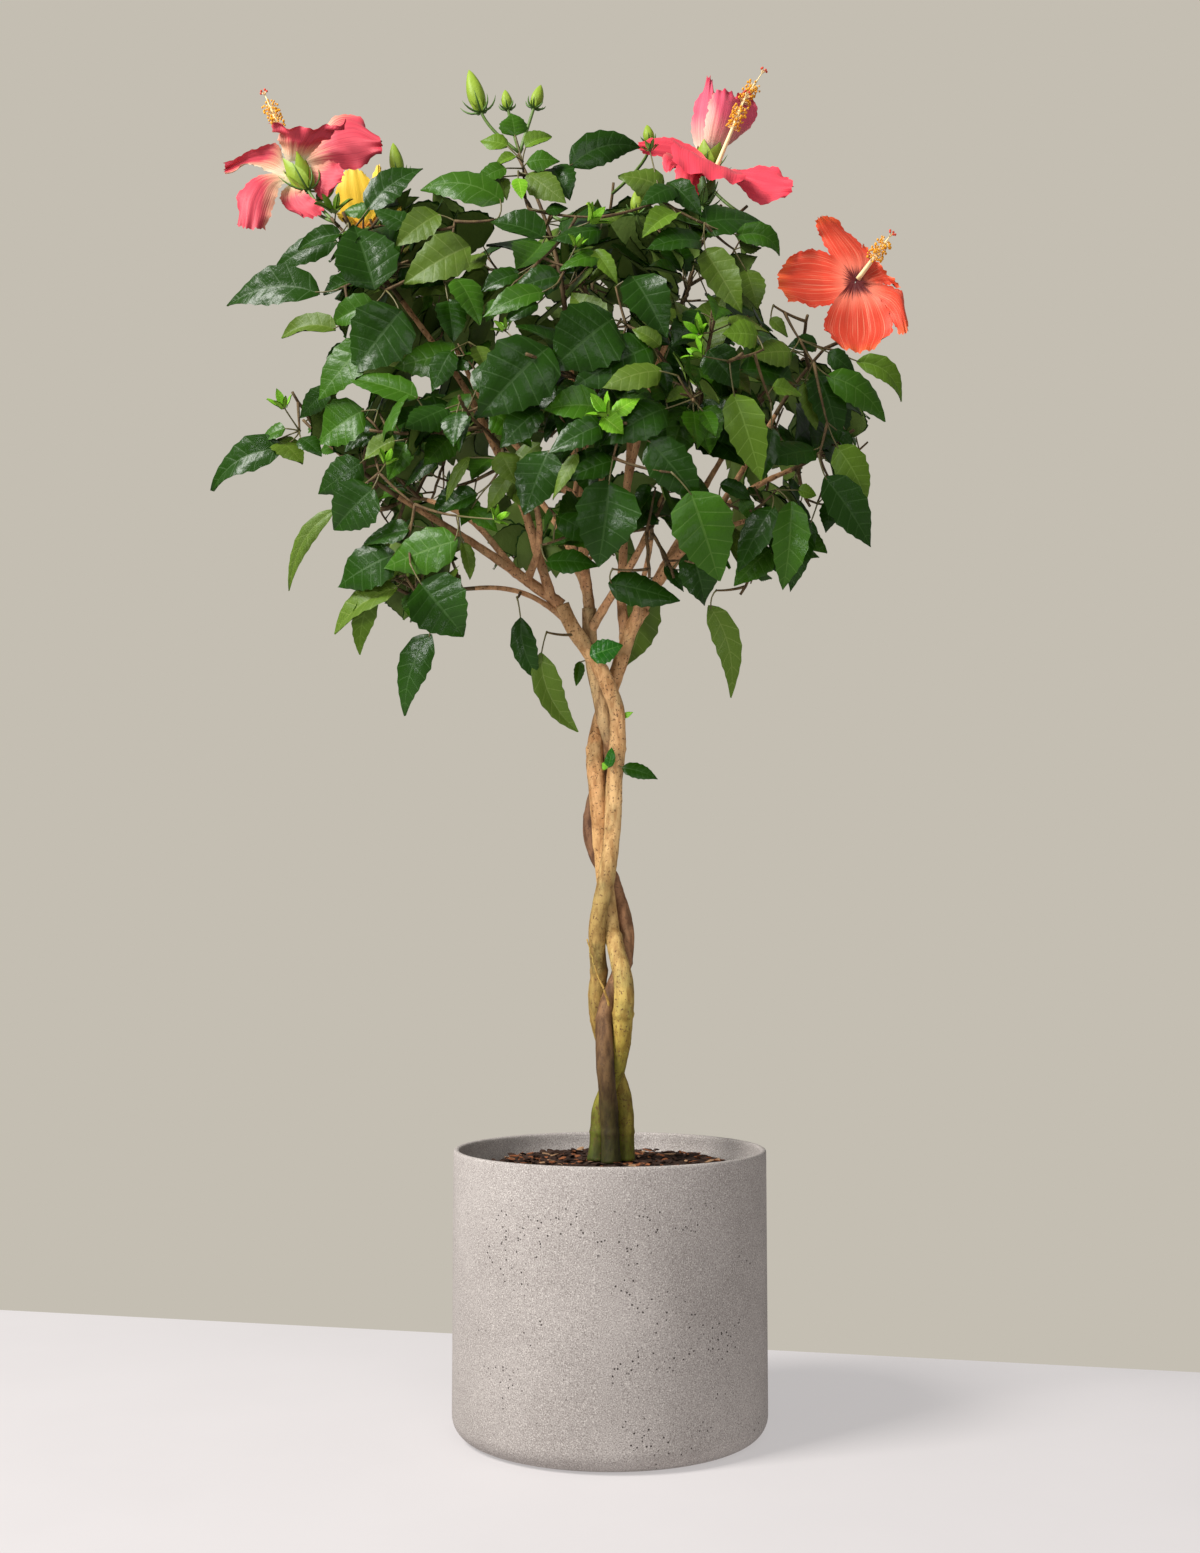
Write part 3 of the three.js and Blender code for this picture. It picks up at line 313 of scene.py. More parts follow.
class Gathering:
    """Bodies of one kind, gathered into one mesh."""

    def __init__(self, name, materials, slot):
        self.name = name
        self.materials = materials
        self.slot = slot
        self.points = []
        self.faces = []
        self.finishes = []
        self.places = []
        self.count = 0

    def add(self, points, faces, finish, places=None):
        points = np.asarray(points, float).reshape(-1, 3)
        self.points.append(points)
        self.faces.extend([tuple(int(i) + self.count for i in face) for face in faces])
        if np.isscalar(finish):
            finish = [finish] * len(faces)
        self.finishes.extend(finish)
        self.places.append(places if places is not None else np.zeros((len(points), 2)))
        self.count += len(points)

    def vine(self, a, b, c, radii, sides, finish):
        """Adds a tube along a quadratic curve, with a ring for each radius. Gives its line."""
        line = bezier(a, b, c, np.linspace(0, 1, len(radii)))[0]
        self.add(*tube(line, radii, sides), finish)
        return line

    def make(self, smooth=True, replaced=()):
        mesh = bpy.data.meshes.new(self.name)
        mesh.from_pydata((np.concatenate(self.points) * MM).tolist(), [], self.faces)
        for material in self.materials:
            mesh.materials.append(material)
        mesh.polygons.foreach_set("material_index", self.finishes)
        mesh.polygons.foreach_set("use_smooth", [smooth] * len(mesh.polygons))
        corners = np.zeros(len(mesh.loops), np.int32)
        mesh.loops.foreach_get("vertex_index", corners)
        layer = mesh.uv_layers.new(name="place")
        layer.data.foreach_set("uv", np.concatenate(self.places)[corners].astype(np.float32).ravel())
        mesh.update()
        piece = put(self.name, mesh)
        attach(piece, "root")
        if replaced:
            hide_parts(*replaced)


def ring_faces(rings, sides):
    """The faces between rings of points."""
    faces = []
    for i in range(rings - 1):
        for k in range(sides):
            n = (k + 1) % sides
            faces.append((i * sides + k, i * sides + n, (i + 1) * sides + n, (i + 1) * sides + k))
    return faces


def tube(points, radii, sides, bump=None):
    """Points and faces of a closed tube. bump gives shares of a ring's radius."""
    points = np.asarray(points, float)
    count = len(points)
    corners = np.zeros((count, sides, 3))
    aside = None
    angles = np.arange(sides) * 2 * math.pi / sides
    for i in range(count):
        along = unit(points[min(count - 1, i + 1)] - points[max(0, i - 1)])
        aside = any_side_of(along) if aside is None else square_to(aside, along)
        across = np.cross(along, aside)
        rays = np.cos(angles)[:, None] * aside + np.sin(angles)[:, None] * across
        reach = np.full(sides, radii[i])
        if bump is not None:
            reach = reach * bump(points[i] + rays * radii[i], i, angles)
        corners[i] = points[i] + rays * reach[:, None]
    faces = ring_faces(count, sides)
    faces.append(tuple(reversed(range(sides))))
    faces.append(tuple((count - 1) * sides + k for k in range(sides)))
    return corners.reshape(-1, 3), faces


def lathe(profile, sides):
    """Points and faces of a ring shape from (radius, height) pairs, open at the axis ends."""
    angles = np.arange(sides) * 2 * math.pi / sides
    rings = [
        np.stack([r * np.cos(angles), r * np.sin(angles), np.full(sides, z)], -1) for r, z in profile
    ]
    return np.concatenate(rings), ring_faces(len(profile), sides)


# Limbs: by name, points of the middle line and radii

limbs = {}


def rounded_line(places, per_span):
    """Points of a centripetal Catmull-Rom curve through places."""
    places = [np.asarray(p, float) for p in places]
    padded = [2 * places[0] - places[1], *places, 2 * places[-1] - places[-2]]
    points = []
    for i in range(len(places) - 1):
        a, b, c, d = padded[i:i + 4]
        ab, bc, cd = (max(1e-4, np.linalg.norm(q - p)) ** 0.5 for p, q in ((a, b), (b, c), (c, d)))
        start = ((b - a) / ab - (c - a) / (ab + bc) + (c - b) / bc) * bc
        end = ((c - b) / bc - (d - b) / (bc + cd) + (d - c) / cd) * bc
        for k in range(per_span):
            t = k / per_span
            points.append(
                b + start * t + (3 * (c - b) - 2 * start - end) * t ** 2
                + (2 * (b - c) + start + end) * t ** 3
            )
    points.append(places[-1])
    return np.array(points)


def run_of(points):
    """How far along a line each of its points lies."""
    return np.concatenate([[0], np.cumsum(np.linalg.norm(np.diff(points, axis=0), axis=1))])


def evenly(points, count):
    """The same line in count evenly spaced points."""
    run = run_of(points)
    wanted = np.linspace(0, run[-1], count)
    return np.stack([np.interp(wanted, run, points[:, k]) for k in range(3)], -1)


def strand_radius(height):
    up = (height - FOOT_HEIGHT) / (FORK_HEIGHT - FOOT_HEIGHT)
    flare = STRAND["flare"] * max(0, 1 - (height - FOOT_HEIGHT) / STRAND["flare_height"]) ** 2
    return lerp(STRAND["foot"], STRAND["fork"], up) + flare


def push_apart(mine, other):
    """Where two stems come too close, both give way sideways."""
    window = 3
    for i, point in enumerate(mine):
        for j in range(max(0, i - window), min(len(other) - 1, i + window)):
            part = other[j + 1] - other[j]
            share = min(1, max(0, (point - other[j]).dot(part) / part.dot(part)))
            nearest = other[j] + part * share
            need = strand_radius(point.z) + strand_radius(nearest.z) + STRAND["gap"]
            away = point - nearest
            lack = need - away.length
            if lack > 0:
                away.z = 0
                away.normalize()
                point += away * lack * 0.5
                other[j] -= away * lack * 0.25
                other[j + 1] -= away * lack * 0.25


def settle_plait(strands):
    """Stems that would cut into each other are pushed apart until they just clear."""
    for _ in range(60):
        for a, b in ((0, 1), (0, 2), (1, 2)):
            push_apart(strands[a], strands[b])
            push_apart(strands[b], strands[a])


def make_strands():
    strands = []
    for which in range(3):
        places = [[*level[which + 1], level[0]] for level in PLAIT]
        line = evenly(rounded_line(places, 40), STRAND["rings"])
        line[0][2] = FOOT_HEIGHT
        strands.append([Vector(p) for p in line])
    settle_plait(strands)
    for name, strand in zip(STRAND_NAMES, strands):
        points = evenly(rounded_line(strand, 12), STRAND["fine_rings"])
        limbs[name] = (points, np.array([strand_radius(p[2]) for p in points]))


def along_limb(name, fraction):
    points = limbs[name][0]
    last = len(points) - 1
    i = min(last - 1, int(fraction * last))
    return lerp(points[i], points[i + 1], fraction * last - i), unit(points[i + 1] - points[i])


def make_bough(name, parent, at, heading, reach, rise, bow, sway, radius, tip):
    start, _ = along_limb(parent, at)
    forward = compass(heading, 0)
    left = vec(-forward[1], forward[0], 0)
    chord = forward * reach + UP * rise
    over = unit(np.cross(chord, left))
    length = np.linalg.norm(chord)
    t = np.linspace(0, 1, max(12, round(length / BOUGH["step"])))
    hump = (4 * t * (1 - t))[:, None]
    points = start + chord * t[:, None] + over * bow * hump + left * sway * hump
    random = seeded(name_seed(name))
    side = vec(random(-1, 1), random(-1, 1), random(-0.4, 0.4))
    waver = np.sin(t * length / BOUGH["waver_length"]) * BOUGH["waver"] * np.minimum(1, t * 6)
    points += side * waver[:, None]
    collar = 0.0 if at == 1 else BOUGH["collar"] * radius
    radii = lerp(radius, tip, t ** BOUGH["taper"]) + collar * np.exp(-t * length / BOUGH["collar_length"])
    limbs[name] = (points, radii)


# The relief of bark

def bark_bump(seed, strength, knots):
    """The share of a limb's radius at a point: fine ridges, warts and the rings of old leaves."""
    def bump(surface, ring, _):
        share = np.ones(len(surface))
        for k, (x, y, z) in enumerate(surface):
            ridge = grain(x / 3.2, y / 3.2, z / 17 + seed)
            lump = grain(x / 14, y / 14, z / 30 + seed * 2)
            wart = max(0, grain(x / 2.2, y / 2.2, z / 2.6 - seed) - 0.42)
            share[k] += strength * (0.5 * ridge + 0.8 * lump + 1.5 * wart)
        return share * (1 + knots[ring])
    return bump


def leaf_scars(points, gap, seed):
    """How much a limb swells at each of its points for old leaf scars."""
    height, half = 0.13, 2.6
    run = run_of(points)
    random = seeded(seed)
    swell = np.zeros(len(points))
    at = gap * random(0.3, 1)
    while at < run[-1]:
        swell += height * random(0.4, 1) * np.exp(-((run - at) / half) ** 2)
        at += gap * random(0.6, 1.4)
    return swell


# Blades: the grid of a leaf, petal or sepal from its foot to its tip and across

def blade_faces(rows, columns, first, upper):
    faces = []
    for i in range(rows):
        for j in range(columns):
            a = first + i * (columns + 1) + j
            b = a + columns + 1
            faces.append((a, b, b + 1, a + 1) if upper else (a, a + 1, b + 1, b))
    return faces


def sheet_faces(rows, columns, turned_over=False):
    """The faces of a blade's front and back sheet."""
    back = (rows + 1) * (columns + 1)
    front = blade_faces(rows, columns, 0, not turned_over)
    return front + blade_faces(rows, columns, back, turned_over)


def both(top, low):
    return np.concatenate([top.reshape(-1, 3), low.reshape(-1, 3)])


def blade_shares(rows, columns):
    """For a grid's points the share from the foot to the tip, and across from -1 to 1."""
    along = np.linspace(0, 1, rows + 1)[:, None] * np.ones((1, columns + 1))
    return along, np.ones((rows + 1, 1)) * np.linspace(-1, 1, columns + 1)[None, :]


def upright(face, along):
    """The directions nearest to face that are square to each of along."""
    upper = face - along * (along @ face)[..., None]
    return upper / np.linalg.norm(upper, axis=-1, keepdims=True)


LEAF_OUTLINE = (
    [0, 0.03, 0.08, 0.15, 0.25, 0.37, 0.5, 0.62, 0.74, 0.85, 0.94, 1],
    [0.01, 0.12, 0.26, 0.39, 0.48, 0.51, 0.49, 0.43, 0.33, 0.2, 0.09, 0.01],
)
LEAF_VEINS = 6
RIB_HALF = 0.042
STALK_RADII = [1.15, 0.85, 0.75, 0.8, 0.6]
# How far leaves fold, curl at their edges, wave and twist, and the phase of the waves: of those
# that grow by rule and of those that are listed one by one.
RULE_SHAPE = ((0.02, 0.5), (0.0, 0.4), (0.015, 0.05), (-0.6, 0.6), (0, ROUND))
HAND_SHAPE = ((0.08, 0.5), (0, 0.42), (0.02, 0.06), (-0.5, 0.5), (0, ROUND))
# How far the side veins run forward, the teeth, how strongly the blade is pleated between the
# veins, the waves along it, and how thick it is in the midrib and beside it, in millimetres.
LEAF_FORM = {
    "slope": 0.13, "tooth": 0.05, "pleat": 0.5, "relief": 0.1, "waves": 9, "rib": 1.7,
    "blade": 0.9,
}


class LeafGrid:
    """Where the rows and columns of a leaf's side lie, and how far each row rises."""

    def __init__(self, rows, across, underside):
        along = np.array([row[0] for row in rows])[:, None]
        rise = np.array([row[1] for row in rows])[:, None]
        shape = np.ones((len(rows), len(across)))
        self.s = shape * np.array(across)[None, :]
        self.size = np.abs(self.s)
        slope = LEAF_FORM["slope"] * self.size * np.minimum(1, (1 - along) * 2.2)
        self.t = np.clip(along + slope * np.minimum(1, along * 4 + 0.12), 0, 1)
        tooth = np.where(self.size > 0.99, -LEAF_FORM["tooth"] * rise, 0)
        self.tooth = tooth * np.minimum(1, along * 6)
        self.pleat = -LEAF_FORM["pleat"] * rise * np.sqrt(self.size) * (1.1 - 0.7 * self.size)
        self.faces = blade_faces(len(rows) - 1, len(across) - 1, 0, not underside)
        self.count = shape.size


def leaf_rows():
    """The share along and the height of each row: -1 on a side vein, 1 between two of them."""
    rows = [(0, 0), (0.045, 0.6)]
    for n in range(LEAF_VEINS):
        vein = lerp(0.1, 0.86, n / (LEAF_VEINS - 1))
        gap = 0.76 / (LEAF_VEINS - 1)
        rows += [(vein - 0.006, -1), (vein + 0.006, -1), (vein + gap * 0.5, 1.0)]
    rows[-1] = (0.94, 0.4)
    return rows + [(1, 0)]


LEAF_TOP = LeafGrid(leaf_rows(), [-1, -0.68, -0.32, -RIB_HALF, RIB_HALF, 0.32, 0.68, 1], False)
LOW_ROWS = [leaf_rows()[0]] + [row for row in leaf_rows() if row[1] == -1][::2] + [leaf_rows()[-1]]
LEAF_LOW = LeafGrid(LOW_ROWS, [-0.92, -0.5, 0, 0.5, 0.92], True)
# Finishes of a leaf's faces: 0 upper side, 1 ribs, 2 underside, 3 stalk.
LEAF_FINISH = []
for row_a, row_b in zip(leaf_rows(), leaf_rows()[1:]):
    LEAF_FINISH += [1] * 7 if row_a[1] == -1 == row_b[1] else [0, 0, 0, 1, 0, 0, 0]
LEAF_FINISH += [2] * len(LEAF_LOW.faces)
LEAF_FACES = LEAF_TOP.faces + [tuple(i + LEAF_TOP.count for i in face) for face in LEAF_LOW.faces]


def leaf_side(grid, foot, elbow, tip, face, width, fold, curl, wave, twist, phase):
    """The grid of one side of a leaf."""
    centre, along = bezier(foot, elbow, tip, grid.t)
    upper = upright(face, along)
    across = np.cross(upper, along)
    spin = (twist * (grid.t - 0.3))[..., None]
    upper, across = (
        upper * np.cos(spin) + across * np.sin(spin), across * np.cos(spin) - upper * np.sin(spin)
    )
    half = width * np.interp(grid.t, *LEAF_OUTLINE)
    reach = half * (grid.size + grid.tooth)
    lift = reach * math.sin(fold) - curl * half * grid.size ** 2.4
    ripple = np.sin(grid.t * LEAF_FORM["waves"] + np.sign(grid.s) * 1.1 + phase)
    lift = lift + wave * width * grid.size ** 2 * ripple
    lift = lift - grid.pleat * half * LEAF_FORM["relief"]
    flat = np.sign(grid.s) * reach * math.cos(fold)
    return centre + across * flat[..., None] + upper * lift[..., None], upper


def leaf_points(foot, elbow, tip, face, width, *shape):
    """The points of a leaf's upper side and of its underside."""
    top, _ = leaf_side(LEAF_TOP, foot, elbow, tip, face, width, *shape)
    low, upper = leaf_side(LEAF_LOW, foot, elbow, tip, face, width, *shape)
    thick = np.where(LEAF_LOW.size < 0.1, LEAF_FORM["rib"], LEAF_FORM["blade"])
    return top, low - upper * thick[..., None]


def add_leaf(gathering, root, path, face, width, shape):
    """A leaf with its stalk. Gives the points of its upper side."""
    foot, elbow, tip = path
    top, low = leaf_points(foot, elbow, tip, face, width, *shape)
    gathering.add(both(top, low), LEAF_FACES, LEAF_FINISH)
    bend = lerp(root, foot, 0.55) + (elbow - foot) * -0.08
    gathering.vine(root - unit(foot - root), bend, lerp(foot, elbow, 0.1), STALK_RADII, 5, 3)
    return top


def leaf_shape(random, spans=RULE_SHAPE):
    return tuple(random(*span) for span in spans)


# Where leaves may stand

# The crown's outline in the picture, inside the leaves that stand out of it one by one.
OUTLINE = [
    (334, 226), (372, 200), (398, 180), (432, 184), (474, 206), (506, 226), (545, 234), (560, 218),
    (600, 198), (650, 190), (690, 196), (716, 216), (748, 214), (770, 246), (752, 262), (766, 300),
    (776, 336), (806, 352), (850, 378), (872, 420), (858, 446), (866, 500), (850, 530), (806, 578),
    (746, 584), (700, 600), (668, 572), (640, 552), (618, 575), (598, 566), (556, 580),
    (500, 566), (462, 590), (446, 636), (404, 628), (360, 580), (372, 534), (348, 505),
    (318, 452), (296, 420), (318, 402), (334, 362), (338, 326), (312, 272),
]
# Sky that shows through the crown: a place of the picture and a radius.
SKY = [
    (423, 386, 9), (432, 482, 11), (500, 264, 12), (484, 488, 12), (462, 478, 9), (697, 285, 12),
    (652, 542, 14), (725, 244, 12), (745, 226, 8), (783, 416, 11), (815, 470, 14), (780, 478, 8),
    (712, 458, 7), (814, 503, 10), (620, 312, 6), (382, 520, 9), (355, 392, 14), (572, 588, 9),
]
# The picture is looked at in cells of this many pixels. A leaf may have these shares of its
# points outside the outline, and before what is placed one by one.
CELL = 4
MOST_OUTSIDE = 0.04
MOST_HIDING = 0.08


class Picture:
    """What of the picture is open to leaves, and how deep the things placed one by one lie."""

    def __init__(self):
        wide, high = PICTURE[0] // CELL + 1, PICTURE[1] // CELL + 1
        x, y = np.meshgrid(np.arange(wide) * CELL, np.arange(high) * CELL)
        inside = np.zeros((high, wide), bool)
        for (x0, y0), (x1, y1) in zip(OUTLINE, OUTLINE[1:] + OUTLINE[:1]):
            if y0 != y1:
                crosses = (y0 > y) != (y1 > y)
                inside ^= crosses & (x < x0 + (y - y0) * (x1 - x0) / (y1 - y0))
        for cx, cy, radius in SKY:
            inside &= (x - cx) ** 2 + (y - cy) ** 2 > radius ** 2
        self.open = inside
        self.front = np.full((high, wide), 1e9)
        self.covered = np.zeros((high, wide), bool)

    def cells(self, points):
        place = np.round(to_picture(points.reshape(-1, 3)) / CELL).astype(int)
        return (
            np.clip(place[:, 1], 0, self.open.shape[0] - 1),
            np.clip(place[:, 0], 0, self.open.shape[1] - 1),
        )

    def cover(self, points):
        rows, columns = self.cells(points)
        np.minimum.at(self.front, (rows, columns), points.reshape(-1, 3)[:, 1])
        self.covered[rows, columns] = True

    def cover_blade(self, top):
        self.cover(top)
        self.cover((top[:-1, :-1] + top[1:, 1:]) / 2)

    def allows(self, points):
        """Whether few of a leaf's points lie outside the crown or before what is placed one by one."""
        rows, columns = self.cells(points)
        depth = points.reshape(-1, 3)[:, 1]
        hides = (depth < self.front[rows, columns]) & self.covered[rows, columns]
        return (~self.open[rows, columns]).mean() <= MOST_OUTSIDE and hides.mean() <= MOST_HIDING


picture = Picture()

spaces = {
    name: (np.array(heart, float), np.array(half, float), np.array(tip[0] if tip else heart, float))
    for name, (_, heart, half, _, *tip) in MASSES.items()
}


def depth_inside(name, points, lean=0):
    """How deep points lie in a mass's own space, less than 0 outside."""
    heart, half, _ = spaces[name]
    offset = np.atleast_2d(points) - heart
    depth = (1 - np.linalg.norm(offset / half, axis=1)) * half[0]
    for other, (there, _, _) in spaces.items():
        if other != name:
            between = there - heart
            distance = np.linalg.norm(between)
            depth = np.minimum(depth, distance / 2 + lean - offset @ between / distance)
    return depth


# The edge of the room's cubes, and how near a point of another leaf is too near.
ROOM_GAP = 9
TOO_NEAR = 0.8 * ROOM_GAP


class Room:
    """Points that leaves have taken, by the cube they fall in."""

    def __init__(self):
        self.cubes = {}

    def key(self, point):
        return tuple(int(math.floor(c / ROOM_GAP)) for c in point)

    def taken(self, point):
        """Whether a leaf is close to a point."""
        x, y, z = self.key(point)
        around = (-1, 0, 1)
        for cube in ((x + i, y + j, z + k) for i in around for j in around for k in around):
            for other in self.cubes.get(cube, ()):
                if np.abs(other - point).max() < TOO_NEAR:
                    return True
        return False

    def crowded(self, points):
        return sum(self.taken(point) for point in points)

    def take(self, points):
        for point in points:
            self.cubes.setdefault(self.key(point), []).append(point)


room = Room()


def samples(top):
    """The points of a leaf by which the room is kept."""
    return top[1::3, ::7].reshape(-1, 3)


def grow_leaf(name, root, twig_along, turn, scale, random, gathering):
    """A leaf from a point of a twig by the crown's rule, or nothing where it finds no room."""
    out = unit(root - CROWN_HEART)
    level = unit(vec(out[0], out[1], 0))
    aside = aside_of(twig_along, turn)
    length = random(LEAF["shortest"], LEAF["longest"]) * scale
    stalk_length = random(*LEAF["stalk"]) * (0.5 + 0.5 * scale)
    width = length * LEAF["width"] * random(0.85, 1.12)
    upward = max(0, out[2])
    droop = random(*HANG["droop"]) * (1 - HANG["stiff"] * upward)
    face_turn = random(-HANG["face_turn"], HANG["face_turn"])
    face_lift = random(*HANG["face_lift"]) + HANG["skyward"] * upward
    shape = leaf_shape(random)
    stalk = unit(aside * HANG["aside"] + twig_along * HANG["along"])
    face = unit(turned(level, UP, face_turn) + UP * face_lift)
    hang = stalk + out * HANG["out"] - UP * droop
    hang = unit(hang - face * (hang @ face))
    foot = root + stalk * stalk_length
    elbow = foot + stalk * length * HANG["elbow"]
    tip = elbow + hang * length * (1 - HANG["elbow"])
    path = (foot, elbow, tip)
    top, _ = leaf_points(*path, face, width, *shape)
    points = samples(top)
    if depth_inside(name, points, LEAF["lean"]).min() < 0 or not picture.allows(top):
        return False
    if room.crowded(points) > LEAF["crowded"]:
        return False
    room.take(points)
    add_leaf(gathering, root, path, face, width, shape)
    return True


# Wood of the crown: stems and twigs of the masses, as points that leaves may spring from

wood = {"points": [], "along": [], "twig": []}
BACKWARD_COST = 0.8


def remember(points, twig=None):
    """Points of a limb or twig from which leaves may spring."""
    points = np.asarray(points)
    for index, (a, b) in enumerate(zip(points, points[1:])):
        wood["points"].append(b)
        wood["along"].append(unit(b - a))
        wood["twig"].append((twig, index + 1))


def nearest_wood(point):
    """The place on the wood from which a shoot to a point is shortest, rather from inside."""
    places = np.array(wood["points"])
    gaps = point - places
    distance = np.linalg.norm(gaps, axis=1)
    backward = np.maximum(0, -(gaps @ unit(point - CROWN_HEART)))
    i = int(np.argmin(distance + backward * BACKWARD_COST))
    twig, index = wood["twig"][i]
    if twig is not None:
        twig.use(index)
    return places[i], wood["along"][i]


class Twig:
    """A line that may bear leaves, how thick it is, and the twig that it springs from."""

    def __init__(self, line, kind, parent=None, at=0):
        self.line = line
        self.kind = kind
        self.parent = parent
        self.at = at
        self.used = 0

    def use(self, index):
        """The twig bears something at a point of its line."""
        self.used = max(self.used, index)
        if self.parent is not None:
            self.parent.use(self.at)

    def mesh(self, twigs):
        if self.used:
            line = self.line[:min(len(self.line), self.used + 2)]
            radii = np.linspace(self.kind["root"], self.kind["tip"], len(self.line))
            twigs.add(*tube(line, radii[:len(line)], 6), 0)


stems = {}


def free_length(name, place, heading):
    """How long a twig may be, to end a little inside its mass's own space."""
    length = 0
    while (
        length < TWIG["longest"]
        and depth_inside(name, place + heading * length)[0] > TWIG["border"]
    ):
        length += TWIG["feeler"]
    return length - TWIG["margin"]


def grow_masses(twigs):
    """Stems and twigs of all masses. Gives (mass, seed picker, twigs that may bear leaves)."""
    grown = []
    for index, (name, (bough, _, _, number, *_)) in enumerate(MASSES.items()):
        random = seeded(SEED + SEED_STEP * index)
        points, radii = limbs[bough]
        start, along = points[-1], unit(points[-1] - points[-2])
        tip = spaces[name][2]
        bend = start + along * np.linalg.norm(tip - start) * STEM_BEND
        thickness = lerp(radii[-1], TWIG["tip"], np.linspace(0, 1, 14))
        stem = twigs.vine(start, bend, tip, thickness, 8, 0)
        remember(stem)
        stems[name] = bezier(start, bend, tip, np.linspace(0, 1, 60))[0]
        lines = []
        for i in range(number):
            share = i / (number - 1)
            place, way = bezier(start, bend, tip, lerp(TWIG["lowest"], TWIG["highest"], share))
            opening = lerp(TWIG["widest"], TWIG["narrowest"], share)
            spread = math.radians(opening + random(-TWIG["play"], TWIG["play"]))
            turn = math.radians(60) + (i + index) * math.radians(120)
            turn += random(-TWIG["stray"], TWIG["stray"])
            heading = branch(way, turn, spread)
            length = free_length(name, place, heading)
            if length > TWIG["shortest"]:
                twig = Twig(twig_line(place, heading, length, random), TWIG)
                lines.append(twig)
                remember(twig.line[:-2], twig)
        for twig in list(lines):
            lines.extend(grow_shoots(name, twig, random))
        lines.append(Twig(stem[5:], SHOOT))
        grown.append((name, random, lines))
    return grown


def twig_line(start, heading, length, random):
    """The line of a slightly crooked twig."""
    count = max(4, int(length / TWIG["step"]))
    t = np.linspace(0, 1, count)[:, None]
    aside = aside_of(heading, random(0, ROUND))
    sway = aside * np.sin(t * math.pi) * length * random(-TWIG["sway"], TWIG["sway"])
    zigzag = np.cross(heading, aside) * ((-1.0) ** np.arange(count))[:, None] * TWIG["zigzag"]
    rise = UP * t * t * length * TWIG["rise"]
    return start + heading * t * length + sway + zigzag * np.minimum(1, t * 3) + rise


def grow_shoots(name, twig, random):
    shoots = []
    line = twig.line
    for n in range(SHOOT["count"]):
        share = lerp(SHOOT["first"], SHOOT["last"], n / (SHOOT["count"] - 1))
        at, along = place_on(line, share)
        turn = n * GOLDEN + random(-SHOOT["stray"], SHOOT["stray"])
        heading = branch(along, turn, math.radians(random(*SHOOT["opening"])))
        length = random(*SHOOT["length"])
        if depth_inside(name, line[at] + heading * length, SHOOT["lean"])[0] > 0:
            shoots.append(Twig(twig_line(line[at], heading, length, random), SHOOT, twig, at))
    return shoots


